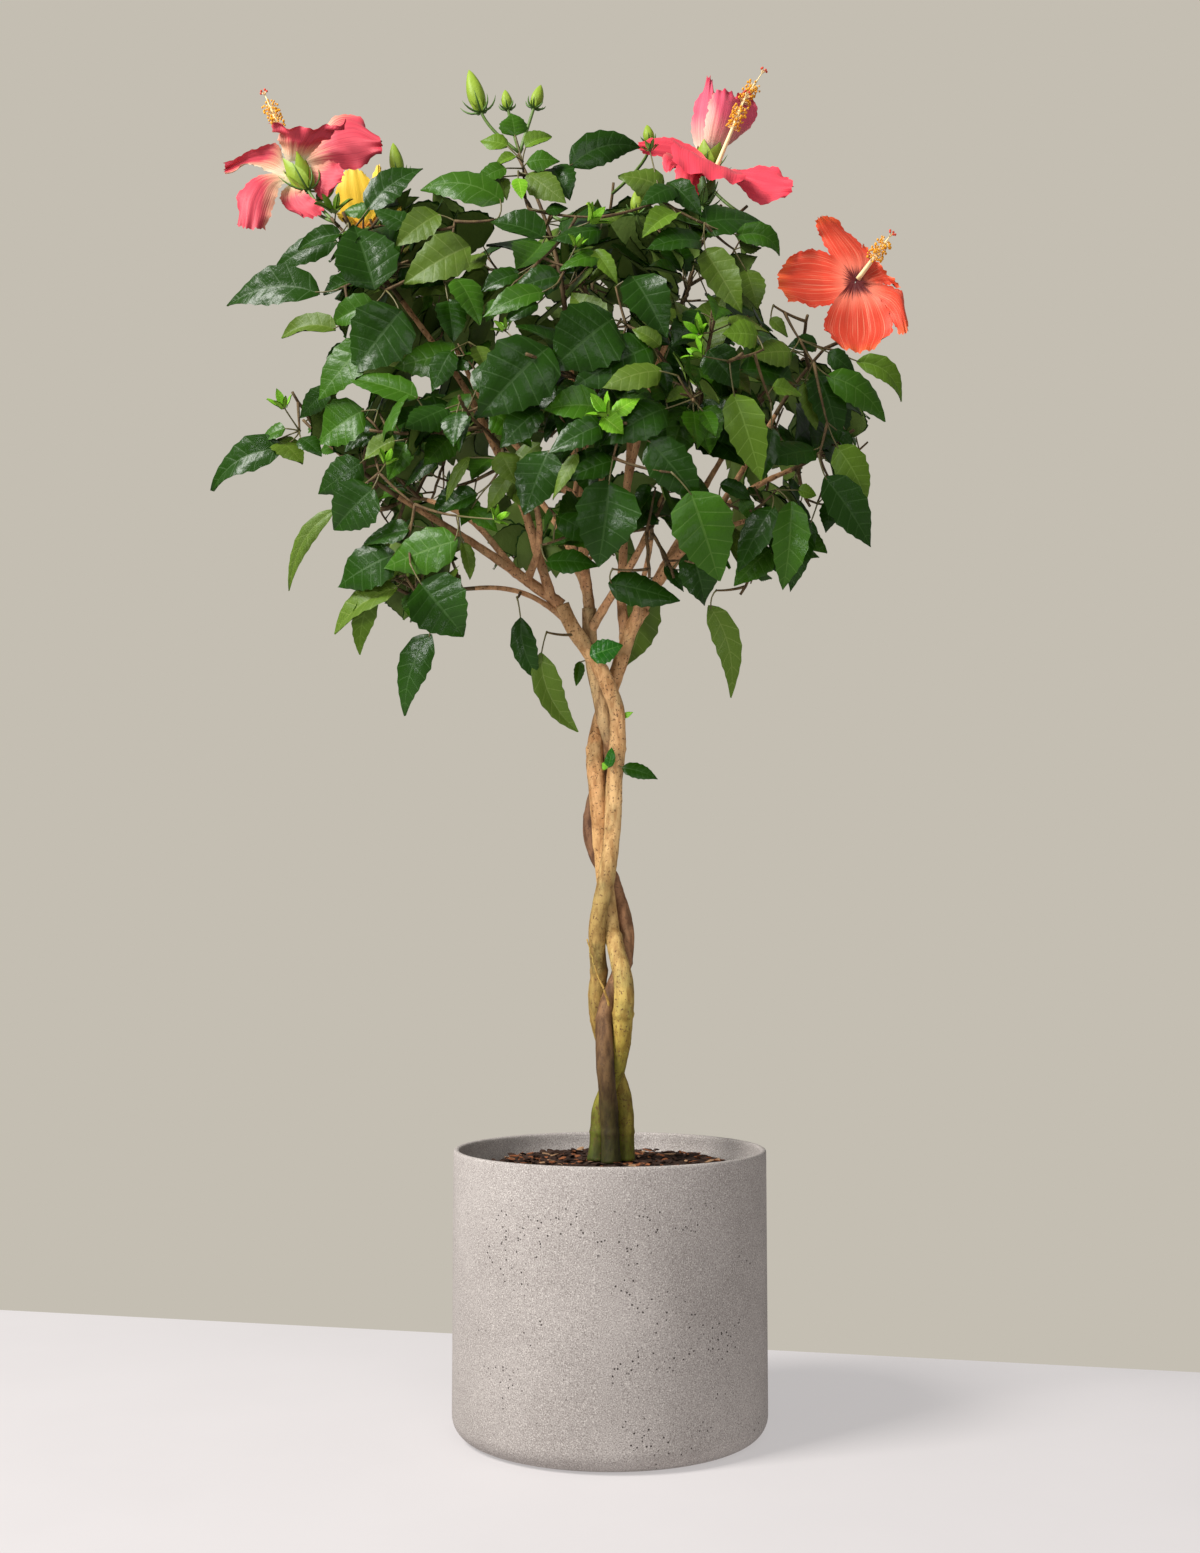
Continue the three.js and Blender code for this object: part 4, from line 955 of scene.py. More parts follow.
# Leaves that the front view shows one by one: the foot and the tip in the picture, width over
# length, the turn of the upper side away from the viewer in degrees and the tone; then, where
# they aren't 0, how far behind the crown's front it hangs and its bow to the right and down.
HAND_LEAVES = [
    (375, 290, 354, 225, 0.8, 8, "deep"), (342, 234, 298, 250, 0.36, 40, "deep"),
    (338, 242, 274, 272, 0.34, 30, "deep", 30, -2, -4), (320, 294, 227, 306, 0.36, 34, "deep", 0, -2, -12),
    (375, 305, 332, 324, 0.6, 30, "mid"), (336, 330, 281, 338, 0.3, 50, "olive", 0, 0, -5),
    (402, 310, 352, 374, 0.85, 12, "deep"), (366, 342, 318, 400, 0.5, 30, "mid"),
    (418, 398, 346, 378, 0.32, 40, "mid", 0, 0, 2), (330, 388, 300, 418, 0.5, 20, "deep", 20),
    (364, 410, 317, 444, 0.75, 24, "mid", 20), (285, 449, 212, 491, 0.38, 30, "deep", 0, -7, -9),
    (276, 440, 303, 464, 0.6, 40, "olive"), (285, 428, 260, 441, 0.5, 50, "mid"),
    (362, 462, 318, 494, 0.62, 10, "deep"), (374, 488, 334, 530, 0.85, 15, "deep", -10),
    (336, 509, 289, 591, 0.18, 26, "olive", 0, -9, -6), (410, 529, 364, 544, 0.45, 40, "deep"),
    (458, 540, 384, 568, 0.52, 20, "mid", -10), (396, 554, 338, 587, 0.62, 20, "deep"),
    (398, 588, 334, 634, 0.32, 50, "olive"), (374, 590, 360, 655, 0.34, 20, "pale", 0, -8, 0),
    (420, 583, 464, 636, 0.98, 6, "deep", -30), (432, 634, 405, 716, 0.36, 20, "deep", 0, -8, -2),
    (470, 246, 404, 284, 0.62, 22, "olive"), (440, 214, 396, 246, 0.55, 30, "olive"),
    (448, 300, 453, 343, 0.7, 15, "deep"), (368, 210, 423, 168, 0.44, 36, "deep", 0, -4, -3),
    (504, 202, 420, 190, 0.32, 44, "mid", 0, 0, -6), (508, 146, 480, 141, 0.5, 50, "pale", 10),
    (525, 147, 552, 137, 0.5, 48, "pale", 10), (515, 136, 511, 113, 1.0, 12, "mid", 5),
    (516, 156, 495, 167, 0.4, 50, "pale", 10), (506, 168, 475, 184, 0.48, 40, "mid", 10),
    (497, 177, 507, 200, 0.5, 30, "olive", 20), (526, 163, 560, 161, 0.55, 42, "mid", 5),
    (518, 178, 522, 199, 0.6, 10, "young"), (527, 174, 566, 203, 0.52, 20, "olive", 10),
    (552, 168, 570, 200, 0.85, 15, "deep", 20), (570, 167, 640, 148, 0.44, 24, "deep", 20, 0, -12),
    (545, 211, 568, 208, 0.45, 50, "deep", 20), (602, 230, 550, 240, 0.42, 52, "deep"),
    (678, 213, 642, 238, 0.42, 46, "pale"), (702, 242, 645, 250, 0.42, 50, "deep"),
    (545, 238, 490, 222, 0.45, 50, "deep"), (520, 274, 480, 292, 0.5, 40, "deep", 20),
    (562, 276, 508, 292, 0.55, 24, "deep"), (545, 292, 482, 318, 0.36, 38, "mid", -10),
    (456, 278, 480, 325, 0.5, 30, "mid"), (600, 256, 560, 270, 0.45, 50, "mid"),
    (594, 250, 618, 285, 0.42, 20, "pale"), (549, 347, 478, 418, 0.76, 12, "deep", -20),
    (614, 318, 551, 370, 0.86, 10, "deep", -14), (652, 346, 572, 388, 0.55, 25, "deep", -10),
    (662, 371, 602, 388, 0.44, 40, "olive", -30), (602, 408, 543, 410, 0.6, 34, "mid", -10),
    (604, 424, 548, 453, 0.52, 26, "deep", -26), (602, 416, 624, 434, 0.8, 10, "young", -30),
    (612, 414, 640, 398, 0.5, 30, "young", -30), (668, 408, 600, 446, 0.52, 24, "deep", -20),
    (648, 440, 700, 502, 0.56, 14, "deep", -26), (632, 276, 667, 338, 0.62, 16, "deep", -10),
    (702, 312, 672, 346, 0.66, 20, "deep"), (660, 346, 632, 329, 0.6, 34, "olive", -10),
    (690, 392, 666, 402, 0.6, 40, "olive"), (549, 450, 524, 515, 0.66, 16, "deep", -10),
    (578, 453, 552, 500, 0.26, 30, "olive", -20), (616, 460, 560, 482, 0.42, 40, "deep"),
    (500, 452, 516, 484, 0.8, 20, "olive"), (510, 474, 487, 513, 0.42, 24, "olive", 20),
    (609, 481, 598, 567, 0.8, 10, "deep", -20), (542, 409, 500, 448, 0.55, 28, "deep"),
    (470, 456, 446, 502, 0.24, 30, "olive", 10), (478, 494, 440, 514, 0.5, 40, "deep", 20),
    (700, 224, 764, 224, 0.44, 48, "deep", 10), (735, 236, 780, 256, 0.5, 24, "mid", 0, 8, -9),
    (704, 250, 742, 313, 0.5, 18, "olive"), (746, 270, 758, 310, 0.62, 20, "olive", 20),
    (770, 318, 788, 337, 0.5, 30, "olive"), (758, 336, 722, 334, 0.75, 30, "pale", -20),
    (792, 352, 750, 356, 0.62, 36, "olive"), (817, 345, 788, 346, 0.6, 30, "deep", 10),
    (828, 352, 856, 376, 0.56, 20, "deep"), (856, 362, 902, 402, 0.38, 26, "pale", 0, 8, -9),
    (826, 376, 885, 422, 0.38, 28, "mid", 0, 5, -5), (816, 371, 838, 441, 0.5, 22, "deep", 20),
    (804, 382, 816, 430, 0.4, 30, "olive", 30), (733, 393, 761, 481, 0.44, 14, "pale", -20),
    (772, 428, 762, 480, 0.42, 18, "deep", -6), (708, 350, 738, 388, 0.85, 14, "deep", -10),
    (772, 387, 801, 396, 0.5, 44, "pale", -10), (740, 370, 800, 386, 0.4, 50, "deep", 10),
    (836, 446, 866, 502, 0.54, 14, "pale", 0, 3, 0), (824, 477, 871, 547, 0.46, 24, "deep", -6),
    (830, 500, 826, 533, 0.6, 20, "deep", 30), (791, 501, 783, 590, 0.44, 14, "mid", -20),
    (812, 520, 790, 592, 0.36, 24, "deep", 10), (774, 506, 738, 572, 0.42, 24, "deep", -10),
    (690, 491, 719, 581, 0.66, 8, "mid", -36), (772, 548, 734, 586, 0.62, 24, "mid", 20),
    (690, 550, 705, 606, 0.72, 20, "deep", 30), (816, 450, 760, 462, 0.4, 48, "deep", 10),
    (798, 490, 816, 496, 0.7, 30, "pale", 10), (838, 431, 853, 448, 0.6, 20, "deep", 20),
    (608, 583, 680, 601, 0.44, 22, "deep", 40), (590, 656, 623, 645, 0.74, 16, "glossy", 112),
    (580, 661, 576, 686, 0.45, 12, "mid", 150), (521, 617, 541, 682, 0.4, 14, "deep", 90, -9, 4),
    (541, 652, 578, 732, 0.36, 16, "olive", 90, -12, 8), (646, 590, 628, 665, 0.5, 16, "olive", 220),
    (708, 605, 731, 698, 0.28, 14, "olive", 80, 10, -4), (622, 768, 658, 779, 0.42, 30, "deep", -16),
    (608, 767, 612, 747, 0.56, 20, "glossy", -20), (623, 717, 633, 712, 0.5, 20, "young", 68),
    (545, 562, 600, 566, 0.42, 40, "deep", 20), (556, 516, 602, 544, 0.5, 30, "deep", 20),
    (664, 190, 618, 177, 0.62, 34, "olive", 10, 0, -4), (668, 182, 702, 216, 0.5, 24, "deep", 6),
    (676, 188, 640, 206, 0.46, 40, "deep", 0), (300, 438, 322, 456, 0.6, 30, "deep", 6),
    (346, 344, 326, 372, 0.5, 30, "deep", 20), (500, 300, 486, 322, 0.6, 24, "mid", 10),
    (538, 304, 505, 322, 0.5, 30, "deep", 6), (452, 350, 432, 392, 0.55, 20, "deep", 16),
    (476, 346, 488, 376, 0.6, 30, "olive", 10), (470, 508, 498, 532, 0.5, 30, "mid", 20),
    (648, 484, 640, 510, 0.6, 30, "deep", 20), (720, 484, 752, 500, 0.5, 30, "deep", 20),
    (742, 498, 752, 522, 0.6, 24, "mid", 20), (660, 362, 668, 394, 0.5, 24, "deep", 10),
    (608, 768, 602, 763, 1.2, 20, "young", -20), (664, 566, 684, 592, 0.4, 20, "deep", 60),
    (462, 542, 470, 580, 0.4, 30, "olive", 20), (370, 210, 342, 213, 0.5, 34, "mid", 6),
    (408, 226, 374, 210, 0.5, 34, "deep", 4),
]
CROWN_FRONT = {"centre": (565, 400), "half": (350, 345), "bulge": 190, "rim": 12}
FOLIAGE_TONES = ["deep", "mid", "olive", "pale", "young", "glossy"]


def crown_front(across, down):
    """The depth y of the crown's front at a place of the picture."""
    (cx, cy), (wide, high) = CROWN_FRONT["centre"], CROWN_FRONT["half"]
    rim = ((across - cx) / wide) ** 2 + ((down - cy) / high) ** 2
    return -CROWN_FRONT["rim"] - CROWN_FRONT["bulge"] * math.sqrt(max(0, 1 - rim))


def keep_in_sight(points):
    """No leaf of the rule hangs before these points."""
    for shift in (-6, 0, 6):
        picture.cover(points + vec(shift, 0, 0))
        picture.cover(points + vec(0, 0, shift))


def show_wood():
    for name, (first, last) in SHOWN_WOOD.items():
        points = stems[name] if name in stems else limbs[name][0]
        keep_in_sight(points[int(first * len(points)):int(last * len(points))])


# A listed leaf stands on a twig of its own where the wood is further off than this.
FAR_FROM_WOOD = 34


def twig_towards(foot, blade, twigs):
    """The root of a listed leaf, on the wood or on a new twig."""
    root, _ = nearest_wood(foot)
    far = np.linalg.norm(foot - root)
    if far <= FAR_FROM_WOOD:
        return root
    end = foot - unit(unit(foot - root) + blade * 0.8) * min(24, far * 0.4)
    bend = lerp(root, end, 0.5) - UP * far * 0.06
    line = twigs.vine(root, bend, end, np.linspace(1.7, 1.0, 7), 6, 0)
    remember(line[3:])
    return end


def place_hand_leaves(leaves, twigs):
    random = seeded(SEED * 3)
    for x0, y0, x1, y1, ratio, turn, tone, *more in HAND_LEAVES:
        shift, bow_x, bow_y = (more + [0, 0, 0])[:3]
        foot = from_picture(x0, y0, crown_front(x0, y0) + shift)
        reach = LEAF["foreshortened"] * math.hypot(x1 - x0, y1 - y0)
        fall = min(reach, max(-reach, crown_front(x1, y1) - crown_front(x0, y0)))
        tip = from_picture(x1, y1, foot[1] + fall)
        blade = unit(tip - foot)
        length = np.linalg.norm(tip - foot)
        to_eye = square_to(np.array(EYE) - foot, blade)
        other = np.cross(blade, to_eye)
        if other @ vec(0.3, 0, 1) < 0:
            other = -other
        turn = math.radians(turn)
        face = to_eye * math.cos(turn) + other * math.sin(turn)
        bow = vec(bow_x, 0, -bow_y) * 1.6
        elbow = lerp(foot, tip, 0.42) + face * length * random(0.08, 0.24) + bow
        width = length * ratio / max(0.5, math.cos(turn))
        shape = leaf_shape(random, HAND_SHAPE)
        root = twig_towards(foot, blade, twigs)
        top = add_leaf(leaves[tone], root, (foot, elbow, tip), face, width, shape)
        picture.cover_blade(top)
        room.take(samples(top))


# Young shoots: the place in the picture, how far they reach, and how far before the crown's
# front they stand.
SPROUTS = [
    (700, 334, 22, 20, "young"), (607, 415, 22, 34, "young"), (284, 408, 19, 10, "young"),
    (386, 463, 15, 16, "young"), (496, 520, 15, 40, "young"), (590, 222, 20, 6, "young"),
    (576, 246, 14, 10, "young"), (702, 356, 18, 26, "young"), (505, 330, 14, 20, "young"),
    (334, 212, 24, -6, "pale"), (650, 150, 10, 0, "mid"),
]
SPROUT_LEAVES = 5


def place_sprouts(leaves):
    """A tuft of five narrow leaves, and one in its middle, at each young shoot."""
    random = seeded(SEED * 11)
    for x, y, size, before, tone in SPROUTS:
        root = from_picture(x, y, crown_front(x, y) - before)
        wood_end, _ = nearest_wood(root)
        rise = unit(unit(root - wood_end) + UP * 0.6)
        side = any_side_of(rise)
        for n in range(SPROUT_LEAVES + 1):
            ray = spoke(rise, n, SPROUT_LEAVES)
            lean = 0.15 if n == SPROUT_LEAVES else 1
            length = size * random(0.75, 1.15)
            foot = root + ray * 1.5 * lean
            tip = foot + unit(rise + ray * lean * random(0.7, 1.2)) * length
            elbow = lerp(foot, tip, 0.5) + rise * length * 0.12
            path = (foot, elbow, tip)
            base = root if n else wood_end
            add_leaf(leaves[tone], base, path, unit(rise - ray), length * 0.4, leaf_shape(random))
        picture.cover(root + side * np.linspace(-size, size, 9)[:, None] * 0.5)


RULE_TONES = ["deep", "deep", "mid", "deep", "mid", "olive"]


def grow_rule_leaves(grown, leaves, twigs):
    for name, random, lines in grown:
        for twig in lines:
            line = twig.line
            tone = RULE_TONES[int(random(0, 5.99))]
            length = np.linalg.norm(line[-1] - line[0])
            number = max(2, round(length / LEAF["every"]))
            for n in range(number):
                share = (n + 0.8) / number
                at, along = place_on(line, share)
                size = lerp(1.0, 0.72, share)
                for attempt in range(LEAF["tries"]):
                    turn = (n + attempt * 2) * GOLDEN + random(-0.3, 0.3)
                    scale = size * (1 - 0.06 * attempt)
                    if grow_leaf(name, line[at], along, turn, scale, random, leaves[tone]):
                        twig.use(at)
                        break
        for twig in lines:
            twig.mesh(twigs)


# Materials

def srgb(red, green, blue):
    """A colour in the linear numbers that a shader takes."""
    def straight(c):
        c = c / 255
        return c / 12.92 if c <= 0.04045 else ((c + 0.055) / 1.055) ** 2.4
    return (straight(red), straight(green), straight(blue), 1)


def grey(value):
    return (value, value, value, 1)


class Finish:
    """A material with its shader, and short ways to add nodes."""

    def __init__(self, name, colour, roughness, specular):
        self.material = bpy.data.materials.new(name)
        self.material.use_nodes = True
        self.nodes = self.material.node_tree.nodes
        self.links = self.material.node_tree.links
        self.shader = self.nodes["Principled BSDF"]
        self.set("Base Color", colour)
        self.set("Roughness", roughness)
        self.set("Specular IOR Level", specular)

    def set(self, socket, value):
        self.shader.inputs[socket].default_value = value

    def node(self, kind, **values):
        node = self.nodes.new(kind)
        for key, value in values.items():
            if key in node.inputs:
                node.inputs[key].default_value = value
            else:
                setattr(node, key, value)
        return node

    def feed(self, values, inputs):
        """Links or sets each of some inputs."""
        for value, into in zip(values, inputs):
            if isinstance(value, bpy.types.NodeSocket):
                self.links.new(value, into)
            else:
                into.default_value = value

    def place(self):
        return self.node("ShaderNodeTexCoord").outputs["Object"]

    def split(self, vector):
        node = self.node("ShaderNodeSeparateXYZ")
        self.feed([vector], node.inputs)
        return node.outputs

    def scaled(self, vector, scale):
        node = self.node("ShaderNodeMapping", Scale=scale)
        self.links.new(vector, node.inputs["Vector"])
        return node.outputs["Vector"]

    def noise(self, scale, detail=4.0, vector=None, rough=0.55):
        node = self.node("ShaderNodeTexNoise", Scale=scale, Detail=detail, Roughness=rough)
        self.links.new(vector or self.place(), node.inputs["Vector"])
        return node.outputs["Fac"]

    def ramp(self, fac, stops):
        node = self.node("ShaderNodeValToRGB")
        ramp = node.color_ramp
        while len(ramp.elements) < len(stops):
            ramp.elements.new(0.5)
        for element, (at, colour) in zip(ramp.elements, stops):
            element.position = at
            element.color = colour
        self.links.new(fac, node.inputs["Fac"])
        return node.outputs["Color"]

    def mask(self, fac, start, end, before=0, after=1):
        """A soft step from one grey to another."""
        return self.ramp(fac, [(start, grey(before)), (end, grey(after))])

    def maths(self, operation, *values):
        node = self.node("ShaderNodeMath", operation=operation)
        self.feed(values, node.inputs)
        return node.outputs[0]

    def mix(self, fac, a, b, blend="MIX"):
        node = self.node("ShaderNodeMix", data_type="RGBA", blend_type=blend)
        self.feed((fac, a, b), (node.inputs[0], node.inputs[6], node.inputs[7]))
        return node.outputs[2]

    def colour(self, out):
        self.links.new(out, self.shader.inputs["Base Color"])

    def bump(self, height, strength, distance):
        node = self.node("ShaderNodeBump", Strength=strength, Distance=distance)
        self.links.new(height, node.inputs["Height"])
        self.links.new(node.outputs["Normal"], self.shader.inputs["Normal"])


def leaf_finish(name, colour, roughness, specular):
    finish = Finish(name, srgb(*colour), roughness, specular)
    finish.bump(finish.noise(150, 3), 0.45, 0.0016)
    return finish.material


LEAF_COLOURS = {
    "deep": ((28, 59, 6), (38, 70, 13), (84, 106, 44), 0.29),
    "mid": ((48, 86, 11), (62, 98, 22), (100, 124, 52), 0.33),
    "olive": ((76, 99, 27), (90, 110, 38), (98, 116, 52), 0.44),
    "pale": ((84, 114, 27), (100, 130, 40), (108, 130, 54), 0.4),
    "young": ((106, 162, 32), (136, 182, 54), (120, 164, 48), 0.38),
    "glossy": ((34, 92, 18), (66, 120, 38), (88, 128, 50), 0.25),
}
STALK_COLOUR = (98, 92, 54)
GREEN_FINISHES = [
    ("sepal", (138, 164, 50), 0.5, 0.3), ("bract", (84, 118, 48), 0.5, 0.4),
    ("flower_stalk", (96, 124, 56), 0.5, 0.4),
]
COLUMN_FINISHES = [
    ("filament", (250, 226, 170), 0.5, 0.4), ("anther", (236, 168, 48), 0.7, 0.2),
    ("stigma", (216, 78, 56), 0.6, 0.3),
]


def leaf_materials(tone):
    upper, rib, under, roughness = LEAF_COLOURS[tone]
    return [
        leaf_finish("leaf_" + tone, upper, roughness, 0.18),
        leaf_finish("leaf_rib_" + tone, rib, 0.5, 0.3),
        leaf_finish("leaf_under_" + tone, under, 0.62, 0.22),
        leaf_finish("leaf_stalk_" + tone, STALK_COLOUR, 0.5, 0.4),
    ]


# Blossom

PETAL_SPANS = 3
PETAL_ROWS = 30
PETAL_COLUMNS = 20
PETAL_U, PETAL_S = blade_shares(PETAL_ROWS, PETAL_COLUMNS)
PETAL_THICK = 0.5
PETAL_FINISH = [0] * (PETAL_ROWS * PETAL_COLUMNS) + [1] * (PETAL_ROWS * PETAL_COLUMNS)

# Open flowers. Places are those of the picture and the depth behind the flower's own. The
# column has its foot and its end, and the stretch with anthers. The calyx has its foot, its
# mouth, its width and its finish. A petal has its two edges, each with four places from the foot
# to the tip, how far its middle bulges (right, down, back), how far its tip runs on, its ruffle,
# and how far the throat's colours run up its first edge (less than 0) or its second.
BLOOMS = {
    "left": {
        "depth": -50,
        "column": ((290, 152, 8), (265, 95, 16), (0.42, 0.84)),
        "calyx": ((308, 190, -14), (294, 164, -4), 19, 0),
        "petals": [
            ([286, 177, -2, 266, 171, -10, 250, 164, -14, 226, 173, -18],
             [284, 160, 4, 277, 144, 0, 252, 150, -6, 225, 164, -14], (0, 0, 6), 2, 0.05, -0.85),
            ([286, 174, -4, 262, 175, -16, 239, 193, -26, 238, 224, -30],
             [292, 182, -6, 281, 186, -20, 274, 205, -30, 266, 228, -34], (-3, 0, -8), 6, 0.05, 0.7),
            ([290, 184, -6, 281, 193, -16, 283, 205, -22, 300, 214, -26],
             [298, 182, -6, 305, 192, -20, 315, 200, -26, 325, 209, -30], (-3, 3, 4), 4, 0.05, -0.3),
            ([304, 178, 0, 314, 190, -6, 324, 200, -10, 332, 190, -14],
             [302, 168, 2, 318, 165, -2, 333, 161, -6, 343, 168, -12], (2, 2, -4), 4, 0.05, 0.4),
            ([302, 166, 2, 325, 166, 0, 358, 169, -4, 380, 152, -6],
             [298, 158, 2, 318, 134, 8, 348, 113, 12, 374, 138, 8], (0, 0, -10), 6, 0.06, 0.45),
            ([286, 162, -2, 281, 146, -8, 277, 133, -16, 269, 122, -24],
             [306, 160, -2, 318, 146, -10, 333, 134, -18, 348, 122, -26], (0, 5, -6), -4, 0.07, -0.5),
        ],
    },
    "yellow": {
        "depth": 40,
        "column": None,
        "calyx": None,
        "petals": [
            ([356, 232, 0, 342, 214, -4, 336, 192, -8, 342, 174, -8],
             [362, 232, 0, 377, 212, -4, 377, 190, -8, 366, 174, -8], (0, 0, -3), 5, 0.014, 0),
            ([368, 232, 2, 368, 206, 4, 369, 186, 6, 376, 168, 8],
             [376, 232, 2, 386, 206, 4, 386, 186, 6, 380, 166, 8], (0, 0, -3), 1, 0.04, 0),
            ([358, 224, -4, 350, 216, -10, 344, 212, -14, 338, 212, -18],
             [360, 232, -4, 352, 228, -10, 346, 224, -14, 340, 220, -18], (0, 0, -2), 2, 0.04, 0),
            ([374, 222, 0, 384, 212, -2, 392, 208, -4, 400, 207, -6],
             [374, 230, 0, 386, 222, -2, 394, 216, -4, 401, 212, -6], (0, 0, -2), 1, 0.04, 0),
        ],
    },
    "open": {
        "depth": -20,
        "column": ((716, 168, 0), (746, 96, -6), (0.54, 0.84)),
        "calyx": ((702, 206, -12), (708, 180, -10), 15, 1),
        "petals": [
            ([712, 172, 4, 690, 164, 10, 666, 158, 6, 644, 154, -2],
             [714, 166, 6, 692, 146, 22, 664, 137, 20, 640, 142, 8], (0, 0, -4), 5, 0.04, 0),
            ([711, 170, 0, 688, 153, -14, 673, 142, -40, 673, 166, -66],
             [719, 171, 0, 733, 171, -14, 745, 175, -40, 744, 182, -62], (0, 7, -10), 2, 0.035, 0),
            ([718, 168, 2, 742, 170, 0, 770, 166, -6, 786, 178, -16],
             [716, 174, 0, 738, 185, -16, 758, 204, -30, 786, 198, -34], (0, -2, -4), 7, 0.05, 0),
            ([708, 170, -4, 692, 166, -24, 676, 166, -40, 678, 190, -48],
             [714, 176, -4, 706, 176, -26, 700, 178, -40, 697, 198, -46], (0, 2, -6), 3, 0.05, 0),
            ([710, 170, 2, 686, 160, -12, 664, 154, -26, 663, 170, -32],
             [712, 174, 0, 694, 172, -14, 680, 168, -28, 675, 166, -36], (0, 3, -4), 4, 0.03, -0.8),
            ([714, 168, 4, 712, 166, 24, 716, 166, 44, 724, 168, 58],
             [720, 170, 4, 736, 170, 24, 750, 170, 40, 758, 173, 52], (0, 0, 6), 4, 0.03, 0),
        ],
    },
    "closing": {
        "depth": 22,
        "column": ((722, 134, 0), (762, 73, -8), (0.5, 0.8)),
        "calyx": ((706, 172, -4), (711, 148, -4), 22, 0),
        "petals": [
            ([698, 154, 2, 692, 134, 4, 694, 108, 6, 707, 80, 4],
             [708, 156, -10, 716, 136, -16, 718, 110, -14, 712, 84, 2], (0, 0, -5), 4, 0.05, 0.5),
            ([704, 156, -8, 704, 134, -18, 708, 108, -18, 712, 94, -10],
             [716, 154, -8, 728, 136, -16, 736, 110, -14, 734, 94, -6], (0, 0, -6), 3, 0.06, -0.6),
            ([712, 154, -2, 728, 136, -6, 736, 114, -10, 736, 94, -6],
             [718, 152, 8, 738, 138, 10, 757, 116, 8, 752, 94, 6], (2, 0, 3), 3, 0.06, 0),
            ([704, 150, 12, 706, 130, 20, 712, 110, 22, 716, 96, 18],
             [716, 150, 12, 732, 130, 20, 744, 110, 18, 746, 96, 14], (0, 0, 6), 2, 0.06, 0),
        ],
    },
    "coral": {
        "depth": -75,
        "column": ((858, 279, -2), (890, 236, -34), (0.46, 0.86)),
        "calyx": ((836, 306, 34), (850, 288, 8), 10, 1),
        "petals": [
            ([856, 279, 4, 836, 258, 4, 812, 249, 2, 791, 256, -4],
             [853, 288, 4, 838, 302, 0, 815, 307, -2, 790, 299, -6], (-2, 0, 5), 11, 0.035, 0),
            ([850, 283, 2, 831, 306, -6, 824, 328, -12, 836, 342, -18],
             [860, 283, 2, 884, 304, -8, 893, 328, -14, 881, 344, -20], (0, 3, 4), 6, 0.035, 0),
            ([853, 282, 6, 834, 260, 8, 821, 238, 8, 815, 222, 2],
             [862, 280, 6, 869, 256, 12, 854, 238, 12, 832, 218, 4], (0, 0, -4), 3, 0.05, 0),
            ([854, 279, 8, 858, 264, 14, 862, 252, 20, 863, 243, 18],
             [860, 288, 6, 878, 284, 12, 892, 285, 18, 901, 288, 20], (-1, 2, 0), 1, 0.05, 0),
            ([857, 280, 4, 882, 284, 2, 901, 292, -2, 906, 326, -8],
             [854, 286, 4, 878, 303, -4, 890, 316, -10, 899, 334, -14], (2, 0, -6), 5, 0.05, 0),
        ],
    },
}
# The colours of each flower: throat, halo, body, edge, veins and outer side; then where the
# halo and the body begin along the petal.
BLOOM_COLOURS = {
    "left": (
        ((246, 226, 196), (236, 186, 150), (200, 62, 78), (182, 38, 58), (160, 34, 58), (200, 70, 84)),
        (0.14, 0.42),
    ),
    "yellow": (
        ((236, 150, 40), (248, 200, 50), (250, 206, 56), (252, 214, 80), (240, 184, 40), (250, 200, 60)),
        (0.2, 0.4),
    ),
    "open": (
        ((240, 150, 132), (236, 108, 108), (230, 66, 84), (226, 58, 78), (208, 44, 70), (196, 40, 62)),
        (0.1, 0.3),
    ),
    "closing": (
        ((240, 206, 186), (238, 178, 160), (214, 84, 108), (190, 34, 66), (176, 40, 74), (206, 70, 96)),
        (0.2, 0.55),
    ),
    "coral": (
        ((88, 4, 8), (240, 122, 96), (230, 72, 46), (240, 98, 44), (248, 158, 124), (226, 92, 58)),
        (0.19, 0.38),
    ),
}


# A petal's relief. Along: the waves of its edges, and the two finer ones of the frill. Across:
# the waves of its tip, the pleats, and the two that notch the tip. Heights are shares of the
# width, the frill's depth is in millimetres.
PETAL_WAVES = {"edge": 21, "frill": (67, 38), "tip": 10, "pleats": 4, "notches": (19, 31)}
PETAL_HEIGHTS = {"tip": 0.9, "pleats": 0.007, "frill": 0.8}


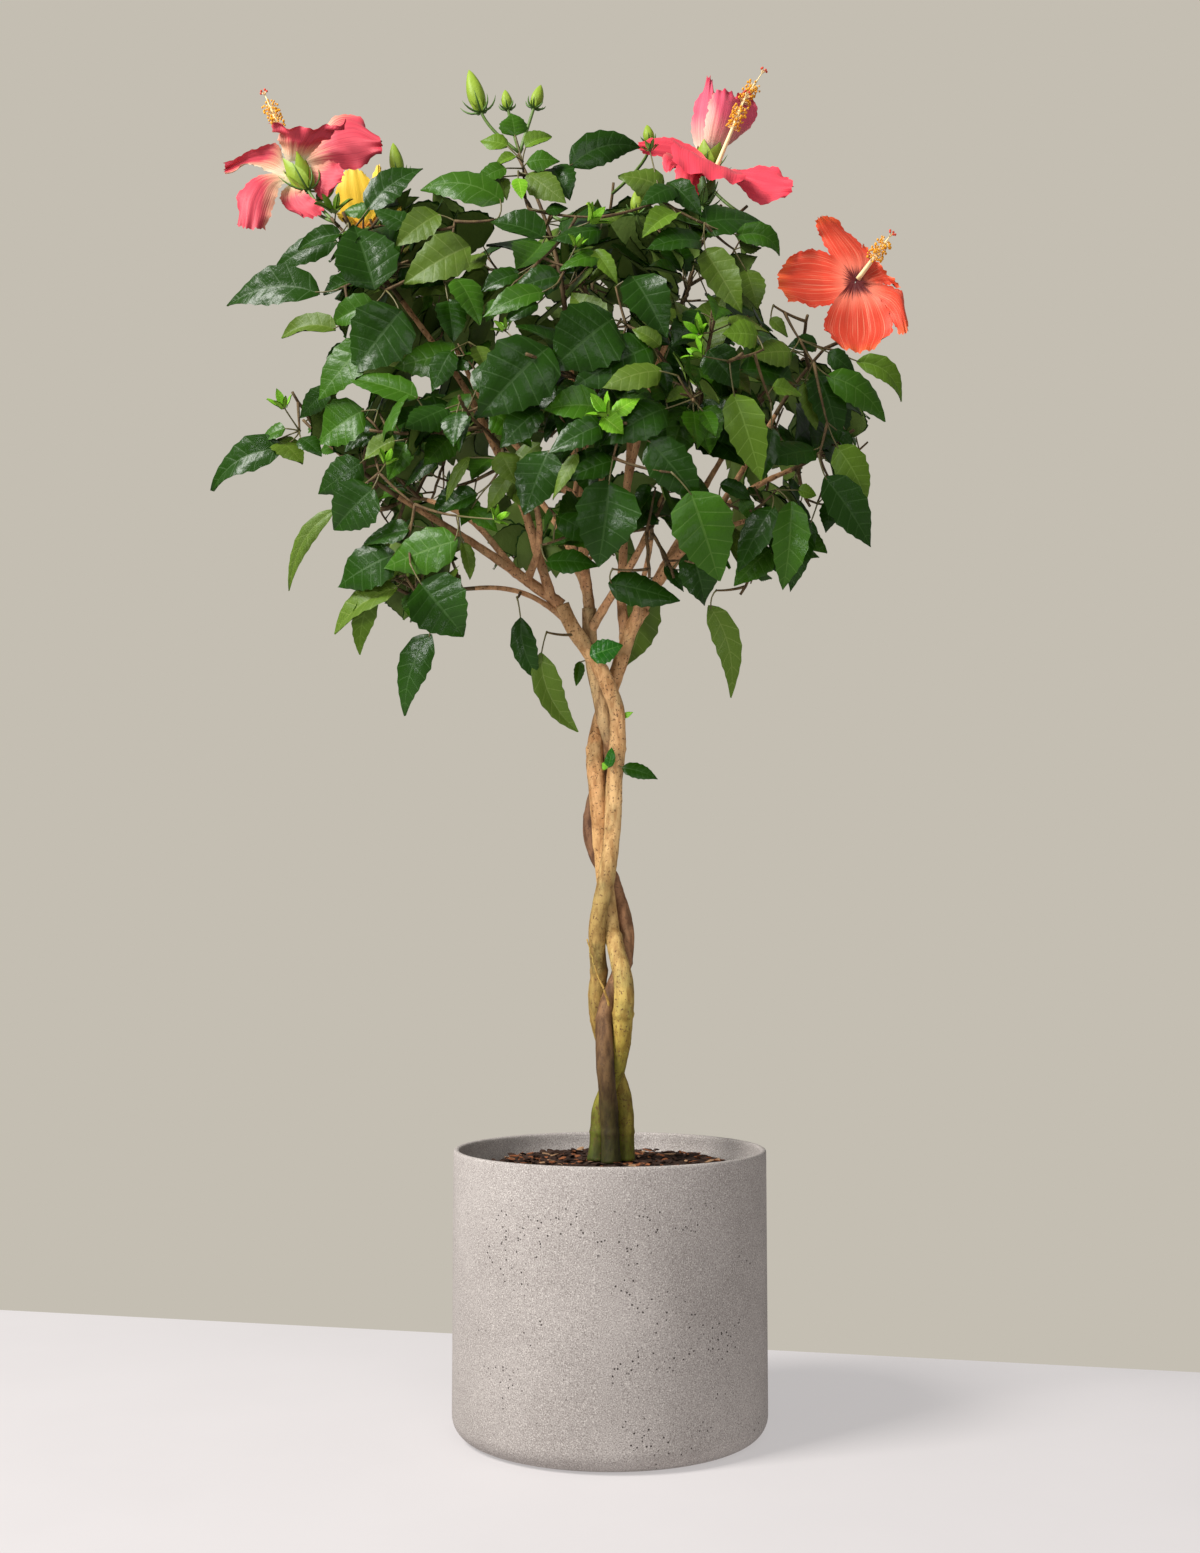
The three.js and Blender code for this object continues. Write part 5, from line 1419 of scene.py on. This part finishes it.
def petal_points(first, second, bulge, nose, ruffle, phase):
    """The two sheets of a petal between its edges, and whether its front has to be turned."""
    u, s = PETAL_U, PETAL_S
    steps = PETAL_ROWS // PETAL_SPANS
    a, b = rounded_line(first, steps)[:, None], rounded_line(second, steps)[:, None]
    share = ((s + 1) / 2)[..., None]
    middle = 1 - s ** 2
    flat = a + (b - a) * share + (middle * np.minimum(1, u * 2))[..., None] * bulge
    ahead = unit((a[-1] + b[-1]) / 2 - (a[-4] + b[-4]) / 2)
    flat = flat + (middle * u ** 4 * nose)[..., None] * ahead
    normal = np.cross(np.gradient(flat, axis=1), np.gradient(flat, axis=0))
    normal /= np.maximum(1e-9, np.linalg.norm(normal, axis=-1, keepdims=True))
    turned_over = (normal * (np.array(EYE) - flat)).sum(-1).mean() < 0
    if turned_over:
        normal = -normal
    width = np.linalg.norm(b - a, axis=-1).max()
    size = np.abs(s)
    waves, heights = PETAL_WAVES, PETAL_HEIGHTS
    lift = ruffle * width * size ** 3 * u ** 1.5 * np.sin(u * waves["edge"] + s * 2 + phase)
    lift += ruffle * width * heights["tip"] * u ** 7 * np.sin(s * waves["tip"] + phase * 2)
    lift += heights["pleats"] * width * np.cos(s * math.pi * waves["pleats"]) * np.sin(u * math.pi)
    top = flat + normal * lift[..., None]
    long_wave, short_wave = waves["frill"]
    frill = np.sin(u * long_wave + phase * 3) + 0.7 * np.sin(u * short_wave + phase)
    rim = (size > 0.99) * frill * np.minimum(1, u * 3)
    top = top + unit(b.mean(0) - a.mean(0)) * (rim * s * heights["frill"])[..., None]
    wide, fine = waves["notches"]
    notches = np.sin(s * wide + phase) + 0.8 * np.sin(s * fine + phase * 2)
    top = top + ahead * ((u > 0.99) * notches)[..., None]
    inner = (size < 0.99) * (u > 0.01) * (u < 0.99)
    return top, top - normal * (PETAL_THICK * inner)[..., None], turned_over


def add_petal(gathering, top, low, turned_over, paint):
    tint = PETAL_U * (1 - abs(paint) * np.clip(PETAL_S * np.sign(paint), 0, 1))
    place = np.stack([tint, PETAL_S / 2 + 0.5], -1).reshape(-1, 2)
    faces = sheet_faces(PETAL_ROWS, PETAL_COLUMNS, turned_over)
    gathering.add(both(top, low), faces, PETAL_FINISH, np.concatenate([place, place]))


# How far the streaks carry the throat's colours up or down a petal, as a share of its length.
THROAT_STREAKS = 0.5


def petal_finish(name, colours, starts):
    """The front and back of a flower's petals, coloured along and streaked from foot to tip."""
    throat, halo, body, edge, vein, under = [srgb(*c) for c in colours]
    light, full = starts
    stops = [(light * 0.6, throat), (light, halo), (full, body), (0.86, body), (1, edge)]
    materials = []
    for side, shown in (("", body), ("_back", under)):
        finish = Finish("petal_" + name + side, shown, 0.5, 0.3)
        finish.set("Sheen Weight", 0.05)
        place = finish.split(finish.node("ShaderNodeUVMap", uv_map="place").outputs["UV"])
        crossed = finish.node("ShaderNodeCombineXYZ")
        finish.feed((place[1], place[0]), crossed.inputs)
        streaks = finish.noise(1.0, 3, finish.scaled(crossed.outputs[0], (54, 1.1, 1)))
        carried = finish.maths("MULTIPLY_ADD", streaks, THROAT_STREAKS, place[0])
        along = finish.maths("SUBTRACT", carried, THROAT_STREAKS / 2)
        base = finish.ramp(along, [(at, shown if colour == body else colour) for at, colour in stops])
        veins = finish.mask(streaks, 0.54, 0.64, after=0.7)
        outward = finish.mask(along, light * 0.8, full)
        finish.colour(finish.mix(finish.mix(1.0, veins, outward, "MULTIPLY"), base, vein))
        finish.bump(streaks, 0.45, 0.0011)
        materials.append(finish.material)
    return materials


# The small balls of anthers and stigma pads: the heights and radii of their rings.
BALL_SIDES = 6
BALL_HEIGHTS = np.array([-1, -0.6, 0, 0.6, 1])
BALL_RADII = np.array([0.25, 0.8, 1, 0.8, 0.25])
ANTHERS = 90
PADS = 5


def add_ball(gathering, centre, radius, finish):
    line = centre + UP * BALL_HEIGHTS[:, None] * radius
    gathering.add(*tube(line, BALL_RADII * radius, BALL_SIDES), finish)


def add_column(gathering, start, end, stretch, random):
    """A slender column with anthers round its outer part and five stigma pads."""
    along = unit(end - start)
    bend = lerp(start, end, 0.5) + any_side_of(along) * 2
    ends = [0, stretch[1], stretch[1] + 0.05, 1]
    radii = np.interp(np.linspace(0, 1, 11), ends, [2.6, 1.5, 0.6, 0.5])
    gathering.vine(start, bend, end, radii, 8, 0)
    for n in range(ANTHERS):
        place = bezier(start, bend, end, lerp(*stretch, n / (ANTHERS - 1)))[0]
        ray = aside_of(along, n * GOLDEN + random(-0.3, 0.3))
        head = place + ray * random(4, 8.5) + along * random(-1, 4)
        gathering.add(*tube([place, head], [0.35, 0.3], 4), 0)
        add_ball(gathering, head, random(0.9, 1.5), 1)
    for n in range(PADS):
        head = end + spoke(along, n, PADS) * 3.4 + along * 4
        knee = lerp(end, head, 0.6) + along
        gathering.add(*tube([end - along, knee, head], [0.5, 0.45, 0.4], 5), 0)
        add_ball(gathering, head, 1.3, 2)


SEPAL_OUTLINE = ([0, 0.15, 0.4, 0.7, 1], [0.3, 0.44, 0.5, 0.32, 0.02])
SEPAL_ROWS = 8
SEPAL_U, SEPAL_S = blade_shares(SEPAL_ROWS, 4)
SEPALS = 5
BRACTS = 7
BRACT_RADII = [1.0, 1.2, 1.2, 1.0, 0.7, 0.15]


def sepal_points(foot, elbow, tip, face, width):
    """The two sheets of a sepal, hollow towards its inner side."""
    centre, along = bezier(foot, elbow, tip, SEPAL_U)
    upper = upright(face, along)
    half = width * np.interp(SEPAL_U, *SEPAL_OUTLINE)
    hollow = (half * 0.3 * SEPAL_S ** 2)[..., None]
    top = centre + np.cross(upper, along) * (SEPAL_S * half)[..., None] + upper * hollow
    return top, top - upper * 0.6


def add_calyx(greens, base, facing, length, width, mouth, spread, finish, random):
    """Five pointed sepals and some thin bracts round the foot of a flower or bud."""
    faces = sheet_faces(SEPAL_ROWS, 4)
    for n in range(SEPALS):
        ray = spoke(facing, n, SEPALS)
        foot = base + ray * 1.5
        elbow = foot + ray * width * 0.62 + facing * length * 0.35
        tip = foot + ray * width * mouth + facing * length
        top, low = sepal_points(foot, elbow, tip, -ray + facing * 0.2, width * 1.15)
        greens.add(both(top, low), faces, finish)
    for n in range(BRACTS):
        ray = spoke(facing, n + 0.4, BRACTS)
        tip = base + ray * width * spread * random(0.8, 1.2) + facing * length * random(0.35, 0.6)
        greens.vine(base, base + ray * width * spread * 0.8, tip, BRACT_RADII, 5, 1)


def add_flower_stalk(greens, base, facing):
    root, along = nearest_wood(base)
    bend = base - facing * min(20, 0.5 * np.linalg.norm(base - root)) + along * 2
    greens.vine(root, bend, base + facing * 2, np.linspace(1.9, 1.6, 9), 7, 2)


# How wide the sepals open at the mouth and how wide the bracts spread, as shares of the width.
FLOWER_CALYX = (0.6, 1.1)
BUD_CALYX = (0.5, 1.5)


def make_bloom(name, kind, greens, columns):
    random = seeded(name_seed(name) * 7)
    petals = Gathering("bloom_" + name, petal_finish(name, *BLOOM_COLOURS[name]), "foliage")

    def spot(across, down, behind):
        return from_picture(across, down, kind["depth"] + behind)

    for first, second, (right, down, back), nose, ruffle, paint in kind["petals"]:
        edges = [[spot(*place) for place in np.reshape(edge, (-1, 3))] for edge in (first, second)]
        bulge = vec(right, back, -down)
        top, low, turned_over = petal_points(*edges, bulge, nose, ruffle, random(0, ROUND))
        picture.cover_blade(top)
        room.take(top[::4, ::4].reshape(-1, 3))
        add_petal(petals, top, low, turned_over, paint)
    if kind["column"]:
        start, end, stretch = kind["column"]
        add_column(columns, spot(*start), spot(*end), stretch, random)
    if kind["calyx"]:
        foot, mouth, width, finish = kind["calyx"]
        base, mouth = spot(*foot), spot(*mouth)
        facing = unit(mouth - base)
        length = np.linalg.norm(mouth - base) * 1.1
        add_calyx(greens, base, facing, length, width, *FLOWER_CALYX, finish, random)
        add_flower_stalk(greens, base, facing)
    petals.make()


# Buds: the foot and the tip in the picture, the depth and the width.
BUDS = [
    (481, 112, 469, 70, -30, 19), (508, 109, 505, 90, -32, 11), (534, 108, 541, 85, -28, 13),
    (399, 178, 393, 143, -15, 15), (650, 143, 647, 125, 10, 12), (637, 214, 637, 189, -40, 14),
    (592, 222, 588, 202, -20, 16), (318, 200, 334, 190, -40, 8),
]


def bud_ribs(surface, ring, angles):
    return 1 + 0.07 * np.cos(angles * SEPALS)


def make_buds(greens):
    random = seeded(SEED * 5)
    for x0, y0, x1, y1, depth, width in BUDS:
        base, tip = from_picture(x0, y0, depth), from_picture(x1, y1, depth)
        facing = unit(tip - base)
        length = np.linalg.norm(tip - base)
        t = np.linspace(0, 1, 12)
        radii = np.sin(np.pi * t ** 0.8) ** 0.75 * width / 2 * 0.92 + 0.4
        greens.add(*tube(base + facing * t[:, None] * length, radii, 15, bud_ribs), 0)
        add_calyx(greens, base, facing, length * 0.62, width * 0.62, *BUD_CALYX, 0, random)
        add_flower_stalk(greens, base, facing)


# Pot, soil and chips

def quarter(steps, place):
    """Places along a quarter turn, by their angle."""
    return [place(math.pi / 2 * n / steps) for n in range(steps + 1)]


def pot_profile():
    radius, height, foot, lip = POT["radius"], POT["height"], POT["foot_round"], POT["lip"]
    inner = radius - POT["wall"]
    sin, cos = math.sin, math.cos
    profile = [(0.5, 0), (60, 0)]
    profile += quarter(12, lambda a: (radius - foot + foot * sin(a), foot - foot * cos(a)))
    profile += [(radius, z) for z in np.arange(foot + 3, height - lip - 0.5, 3.0)]
    profile += quarter(4, lambda a: (radius - lip + lip * cos(a), height - lip + lip * sin(a)))
    profile += quarter(4, lambda a: (inner + lip - lip * sin(a), height - lip + lip * cos(a)))
    profile += [(inner, height - 8), (inner, POT["inside"]), (inner - 40, POT["inside"] - 4)]
    return profile


def make_pot():
    pot = Gathering("pot_shell", [concrete()], "concrete")
    pot.add(*lathe(pot_profile(), 160), 0)
    pot.make(replaced=["pot"])


def concrete():
    """Cast concrete: a cloudy grey with light and dark grains, and clusters of small holes that the bump
    dents and that are coloured dark as painted shade.
    """
    finish = Finish("cast_concrete", srgb(166, 158, 152), 0.85, 0.25)
    cloud = finish.ramp(finish.noise(11, 5), [(0.3, srgb(156, 149, 145)), (0.7, srgb(174, 167, 163))])
    fine = finish.noise(880, 2)
    dark = finish.mask(fine, 0.34, 0.46, 0.7, 0)
    light = finish.mask(fine, 0.54, 0.68, after=0.8)
    grain_tone = finish.mix(light, finish.mix(dark, cloud, srgb(112, 105, 100)), srgb(212, 206, 200))
    holes = finish.node("ShaderNodeTexVoronoi", Scale=182.0, Randomness=1.0)
    finish.feed([finish.place()], [holes.inputs["Vector"]])
    near = finish.mask(holes.outputs["Distance"], 0.12, 0.2, 1, 0)
    clusters = finish.mask(finish.noise(17, 3), 0.53, 0.57)
    below_rim = finish.mask(finish.split(finish.place())[2], 0.235, 0.255, 1, 0)
    pits_with_painted_shade = finish.mix(1.0, finish.mix(1.0, near, clusters, "MULTIPLY"), below_rim, "MULTIPLY")
    # Painted shade: the small hollows are coloured dark.
    finish.colour(finish.mix(pits_with_painted_shade, grain_tone, srgb(58, 52, 48)))
    relief = finish.mix(1.0, finish.mix(0.75, grey(1), fine), pits_with_painted_shade, "SUBTRACT")
    finish.bump(relief, 0.5, 0.0012)
    return finish.material


SOIL_EDGE = POT["radius"] - POT["wall"] + 0.4
# The chips of bark: their sizes, and up to which share of them they are dark and rusty.
CHIPS = {
    "count": 900, "length": (4, 15), "width": (3, 8), "thickness": (0.8, 2.4), "dark": 0.74,
    "rusty": 0.93,
}
CHIP_COLOURS = {"chip_dark": (66, 46, 36), "chip_rust": (150, 92, 58), "chip_pale": (176, 138, 104)}


def soil_height(r):
    share = max(0, (r - SOIL["flat"]) / (SOIL_EDGE - SOIL["flat"]))
    return SOIL["top"] - share ** SOIL["fall"] * SOIL["drop"]


def make_soil():
    sides, rings = 150, 44
    points = []
    for i in range(rings + 1):
        r = 0.5 + (SOIL_EDGE - 0.5) * i / rings
        for k in range(sides):
            a = 2 * math.pi * k / sides
            x, y = r * math.cos(a), r * math.sin(a)
            lump = grain(x / 17, y / 17, 3) * 2.4 + grain(x / 5, y / 5, 9) * 1.8
            points.append((x, y, soil_height(r) - SOIL["bed"] + lump))
    soil = Gathering("soil_surface", [earth()], "bark_mulch")
    soil.add(points, [tuple(reversed(face)) for face in ring_faces(rings + 1, sides)], 0)
    soil.make(replaced=["soil"])


def make_chips():
    finishes = [chip_finish(name, srgb(*colour)) for name, colour in CHIP_COLOURS.items()]
    chips = Gathering("bark_chips", finishes, "bark_mulch")
    random = seeded(991)
    for _ in range(CHIPS["count"]):
        r = SOIL_EDGE * math.sqrt(random(0.0, 0.99)) - 3
        a = random(0, 2 * math.pi)
        centre = vec(r * math.cos(a), r * math.sin(a), soil_height(r) + random(-1.2, 1.4))
        along = compass(math.degrees(random(0, ROUND)), random(-18, 18))
        length, wide, thick = [random(*CHIPS[size]) for size in ("length", "width", "thickness")]
        across = square_to(UP + vec(random(-0.5, 0.5), random(-0.5, 0.5), 0), along)
        side = np.cross(across, along)
        line = centre + along * np.linspace(-0.5, 0.5, 4)[:, None] * length
        corners, faces = tube(line, [0.6, 1, 0.9, 0.5], 6)
        flat = corners - centre
        jitter = np.array([random(0.7, 1.25) for _ in range(len(corners))])
        corners = (
            centre + (flat @ along)[:, None] * along
            + (flat @ side * wide / 2 * jitter)[:, None] * side
            + (flat @ across * thick / 2 * jitter)[:, None] * across
        )
        pick = random(0, 1)
        chips.add(corners, faces, int(pick >= CHIPS["dark"]) + int(pick >= CHIPS["rusty"]))
    chips.make(smooth=False)


def chip_finish(name, colour):
    finish = Finish(name, colour, 0.85, 0.2)
    dark = tuple(c * 0.45 for c in colour[:3]) + (1,)
    finish.colour(finish.mix(finish.mask(finish.noise(160, 4), 0.35, 0.7), dark, colour))
    finish.bump(finish.noise(500, 3), 0.5, 0.0008)
    return finish.material


def earth():
    finish = Finish("dark_soil", srgb(52, 38, 32), 0.95, 0.15)
    stops = [(0.3, srgb(30, 22, 19)), (0.6, srgb(58, 43, 35)), (0.8, srgb(84, 62, 48))]
    finish.colour(finish.ramp(finish.noise(130, 5), stops))
    finish.bump(finish.noise(260, 5), 0.8, 0.002)
    return finish.material


# Bark

# The lowest and the highest place that the bark's colours are for, in metres.
BARK_HEIGHTS = (0.26, 0.86)


def bark_finish(name, rows, shade, dot, streaky=0.85, dotty=0.9):
    """Bark coloured by height, darker where its streaks run low, with greyer patches and fine lenticels.
    """
    finish = Finish(name, srgb(*rows[-1][1]), 0.72, 0.3)
    low, high = BARK_HEIGHTS
    span = finish.node("ShaderNodeMapRange", **{"From Min": low, "From Max": high})
    wander = finish.maths("MULTIPLY_ADD", finish.noise(26, 3), 0.06, finish.split(finish.place())[2])
    finish.feed([wander], [span.inputs["Value"]])
    stops = [((height * MM + 0.03 - low) / (high - low), srgb(*colour)) for height, colour in rows]
    body = finish.ramp(span.outputs[0], stops)
    streaks = finish.noise(150, 6, finish.scaled(finish.place(), (1, 1, 0.3)), 0.65)
    # The streaks darken the bark where their relief is low.
    groove_darkened = finish.mix(finish.mask(streaks, 0.4, 0.58, streaky, 0), body, (*shade, 1), "MULTIPLY")
    patches = finish.mask(finish.noise(34, 3), 0.5, 0.66)
    patched = finish.mix(patches, groove_darkened, (0.72, 0.8, 0.8, 1), "MULTIPLY")
    dots = finish.mask(finish.noise(400, 2), 0.6, 0.66, after=dotty)
    finish.colour(finish.mix(dots, patched, srgb(*dot)))
    finish.bump(streaks, 0.7, 0.0016)
    return finish.material


# The colours of each stem at some heights, what its streaks leave of them, the colour of its
# lenticels, and how strong streaks and lenticels are.
STRAND_COLOURS = {
    "strand_right": (
        [(270, (100, 102, 26)), (310, (146, 132, 50)), (350, (152, 132, 56)), (430, (158, 128, 68)),
         (530, (154, 128, 74)), (600, (206, 168, 114)), (720, (206, 162, 112)), (830, (206, 164, 116))],
        (0.56, 0.46, 0.36), (92, 60, 34), 0.9, 0.9,
    ),
    "strand_left": (
        [(270, (64, 74, 16)), (300, (94, 98, 26)), (350, (142, 132, 44)), (385, (170, 148, 64)),
         (440, (180, 152, 86)), (500, (180, 148, 92)), (640, (206, 158, 106)), (830, (210, 164, 116))],
        (0.56, 0.46, 0.36), (90, 60, 34), 0.9, 0.9,
    ),
    "strand_middle": (
        [(270, (54, 54, 14)), (310, (72, 60, 26)), (350, (96, 72, 42)), (510, (148, 106, 72)),
         (610, (116, 82, 58)), (690, (166, 126, 88)), (720, (196, 162, 114)), (830, (192, 156, 110))],
        (0.46, 0.4, 0.36), (66, 44, 30), 1.0, 0.6,
    ),
}
# Where a stem is thicker than its taper: its height, how far up and down that reaches, and the
# millimetres that it adds.
SWELLINGS = {
    "strand_right": [(620, 60, 0.4)],
    "strand_left": [(420, 36, 1.5), (640, 60, 1.0)],
    "strand_middle": [(720, 34, 0.8)],
}
BOUGH_COLOURS = ([(800, (210, 164, 118)), (860, (202, 154, 110))], (0.58, 0.5, 0.44), (90, 60, 42))
TWIG_COLOURS = ([(800, (106, 88, 56)), (860, (104, 84, 54))], (0.5, 0.44, 0.4), (60, 44, 34))
# A thin dead twig that stands between the stems of the plait: places in the picture, with y.
DEAD_TWIG = [(611, 1012, -13), (605, 993, -21), (598, 975, -23.5), (592, 957, -22.5), (587, 939, -20)]


def swelling(name, heights):
    added = np.zeros(len(heights))
    for middle, reach, height in SWELLINGS.get(name, ()):
        added += height * np.exp(-((heights - middle) / reach) ** 2)
    return added


def make_dead_twig():
    line = rounded_line([from_picture(*place) for place in DEAD_TWIG], 4)
    random = seeded(71)
    line[1:-1] += [[random(-0.7, 0.7), 0, random(-0.7, 0.7)] for _ in line[1:-1]]
    straw = bark_finish("dead_twig", [(800, (176, 142, 72)), (860, (176, 142, 72))], *TWIG_COLOURS[1:])
    piece = Gathering("dead_twig", [straw], "bark")
    piece.add(*tube(line, np.linspace(1.5, 0.8, len(line)), 6), 0)
    piece.make()


# How limbs get their bark: the sides of the tube, the relief's strength, the gap between old
# leaf scars, a number that their seeds stay below, and how much thicker they get.
STRAND_BARK = (26, 0.14, 90, 17, 0.45)
BOUGH_BARK = (14, 0.12, 26, 13, 0)


def add_limb(gathering, name, sides, strength, gap, seeds, thicker):
    points, radii = limbs[name]
    relief = bark_bump(name_seed(name) % seeds, strength, leaf_scars(points, gap, name_seed(name)))
    gathering.add(*tube(points, radii + thicker + swelling(name, points[:, 2]), sides, relief), 0)


def make_wood():
    for name in STRAND_NAMES:
        piece = Gathering(name + "_bark", [bark_finish(name + "_bark", *STRAND_COLOURS[name])], "bark")
        add_limb(piece, name, *STRAND_BARK)
        piece.make(replaced=[name])
    boughs = Gathering("boughs_bark", [bark_finish("bough_bark", *BOUGH_COLOURS)], "bark")
    for name in BOUGHS:
        add_limb(boughs, name, *BOUGH_BARK)
    boughs.make(replaced=list(BOUGHS))


# The plant

make_strands()
for bough, row in BOUGHS.items():
    make_bough(bough, *row)
make_wood()
for limb_points, _ in limbs.values():
    remember(limb_points[::4])

twigs = Gathering("twigs", [bark_finish("twig_bark", *TWIG_COLOURS)], "bark")
leaves = {tone: Gathering("leaves_" + tone, leaf_materials(tone), "foliage") for tone in FOLIAGE_TONES}
greens = Gathering("calyces_and_buds", [leaf_finish(*row) for row in GREEN_FINISHES], "foliage")
columns = Gathering("flower_columns", [leaf_finish(*row) for row in COLUMN_FINISHES], "foliage")
masses = grow_masses(twigs)
show_wood()
place_hand_leaves(leaves, twigs)
place_sprouts(leaves)
for bloom_name, bloom in BLOOMS.items():
    make_bloom(bloom_name, bloom, greens, columns)
make_buds(greens)
grow_rule_leaves(masses, leaves, twigs)
twigs.make(replaced=SPRIG_NODES)
leaves["deep"].make(replaced=list(MASSES))
for tone in FOLIAGE_TONES[1:]:
    leaves[tone].make()
greens.make()
columns.make()
make_dead_twig()
make_pot()
make_soil()
make_chips()


# Floor, light and camera

# The floor's corners. Its far edges are those of the table in the picture.
FLOOR = [(-2200, -1500), (2200, -1500), (2200, -110), (690, 249), (-790, 603), (-2200, 940)]
WARM = (1, 0.98, 0.95)
SPOT = {"spot_blend": 0.9, "shadow_soft_size": 0.2}
LIGHTS = [
    ("key", "AREA", (-2.4, -1.6, 3.0), (0, 0, 0.8), {"size": 1.3, "energy": 205, "color": WARM}),
    ("under_crown", "SPOT", (-1.1, -1.7, 0.72), (0, 0, 0.62),
     {"spot_size": math.radians(26), "energy": 94, **SPOT}),
    ("right_fill", "SPOT", (1.3, -1.5, 0.62), (0, 0, 0.6),
     {"spot_size": math.radians(19), "energy": 36, **SPOT}),
    ("fill", "AREA", (0.4, -3.4, 2.0), (0, 0, 0.9), {"size": 1.6, "energy": 26}),
]
BACKDROP = (196, 190, 178)
AMBIENT = 0.27


def make_floor():
    mesh = bpy.data.meshes.new("floor")
    mesh.from_pydata([(x * MM, y * MM, -0.0004) for x, y in FLOOR], [], [tuple(range(len(FLOOR)))])
    floor = put("floor", mesh)
    finish = Finish("floor", srgb(158, 154, 154), 0.7, 0.25)
    # The floor glows a little of itself: painted light that makes the shadows on it fainter.
    finish.set("Emission Color", srgb(236, 232, 232))
    finish.set("Emission Strength", 0.48)
    finish.colour(finish.ramp(finish.noise(3), [(0.3, srgb(155, 151, 151)), (0.7, srgb(160, 156, 156))]))
    mesh.materials.append(finish.material)


def add_light(name, kind, place, target, values):
    data = bpy.data.lights.new(name, kind)
    for key, value in values.items():
        setattr(data, key, value)
    light = put(name, data)
    light.location = place
    light.rotation_euler = (Vector(target) - Vector(place)).to_track_quat("-Z", "Y").to_euler()


def make_world():
    """A plain backdrop before the camera, and dimmer light from all round on the object."""
    world = bpy.data.worlds.new("studio")
    bpy.context.scene.world = world
    world.use_nodes = True
    nodes, links = world.node_tree.nodes, world.node_tree.links
    shown = nodes["Background"]
    shown.inputs["Color"].default_value = srgb(*BACKDROP)
    shown.inputs["Strength"].default_value = 1.0
    ambient = nodes.new("ShaderNodeBackground")
    ambient.inputs["Color"].default_value = (*WARM, 1)
    ambient.inputs["Strength"].default_value = AMBIENT
    paths = nodes.new("ShaderNodeLightPath")
    mix = nodes.new("ShaderNodeMixShader")
    links.new(paths.outputs["Is Camera Ray"], mix.inputs["Fac"])
    links.new(ambient.outputs[0], mix.inputs[1])
    links.new(shown.outputs[0], mix.inputs[2])
    links.new(mix.outputs[0], nodes["World Output"].inputs["Surface"])
    bpy.context.scene.view_settings.view_transform = "Standard"


def make_camera():
    data = bpy.data.cameras.new("camera")
    data.sensor_width = SENSOR
    data.lens = FOCAL / PICTURE[1] * SENSOR
    data.clip_end = 50
    camera = put("camera", data)
    camera.location = [c * MM for c in EYE]
    camera.rotation_euler = (math.pi / 2 + PITCH, 0, 0)
    bpy.context.scene.camera = camera


make_floor()
for light_row in LIGHTS:
    add_light(*light_row)
make_world()
make_camera()
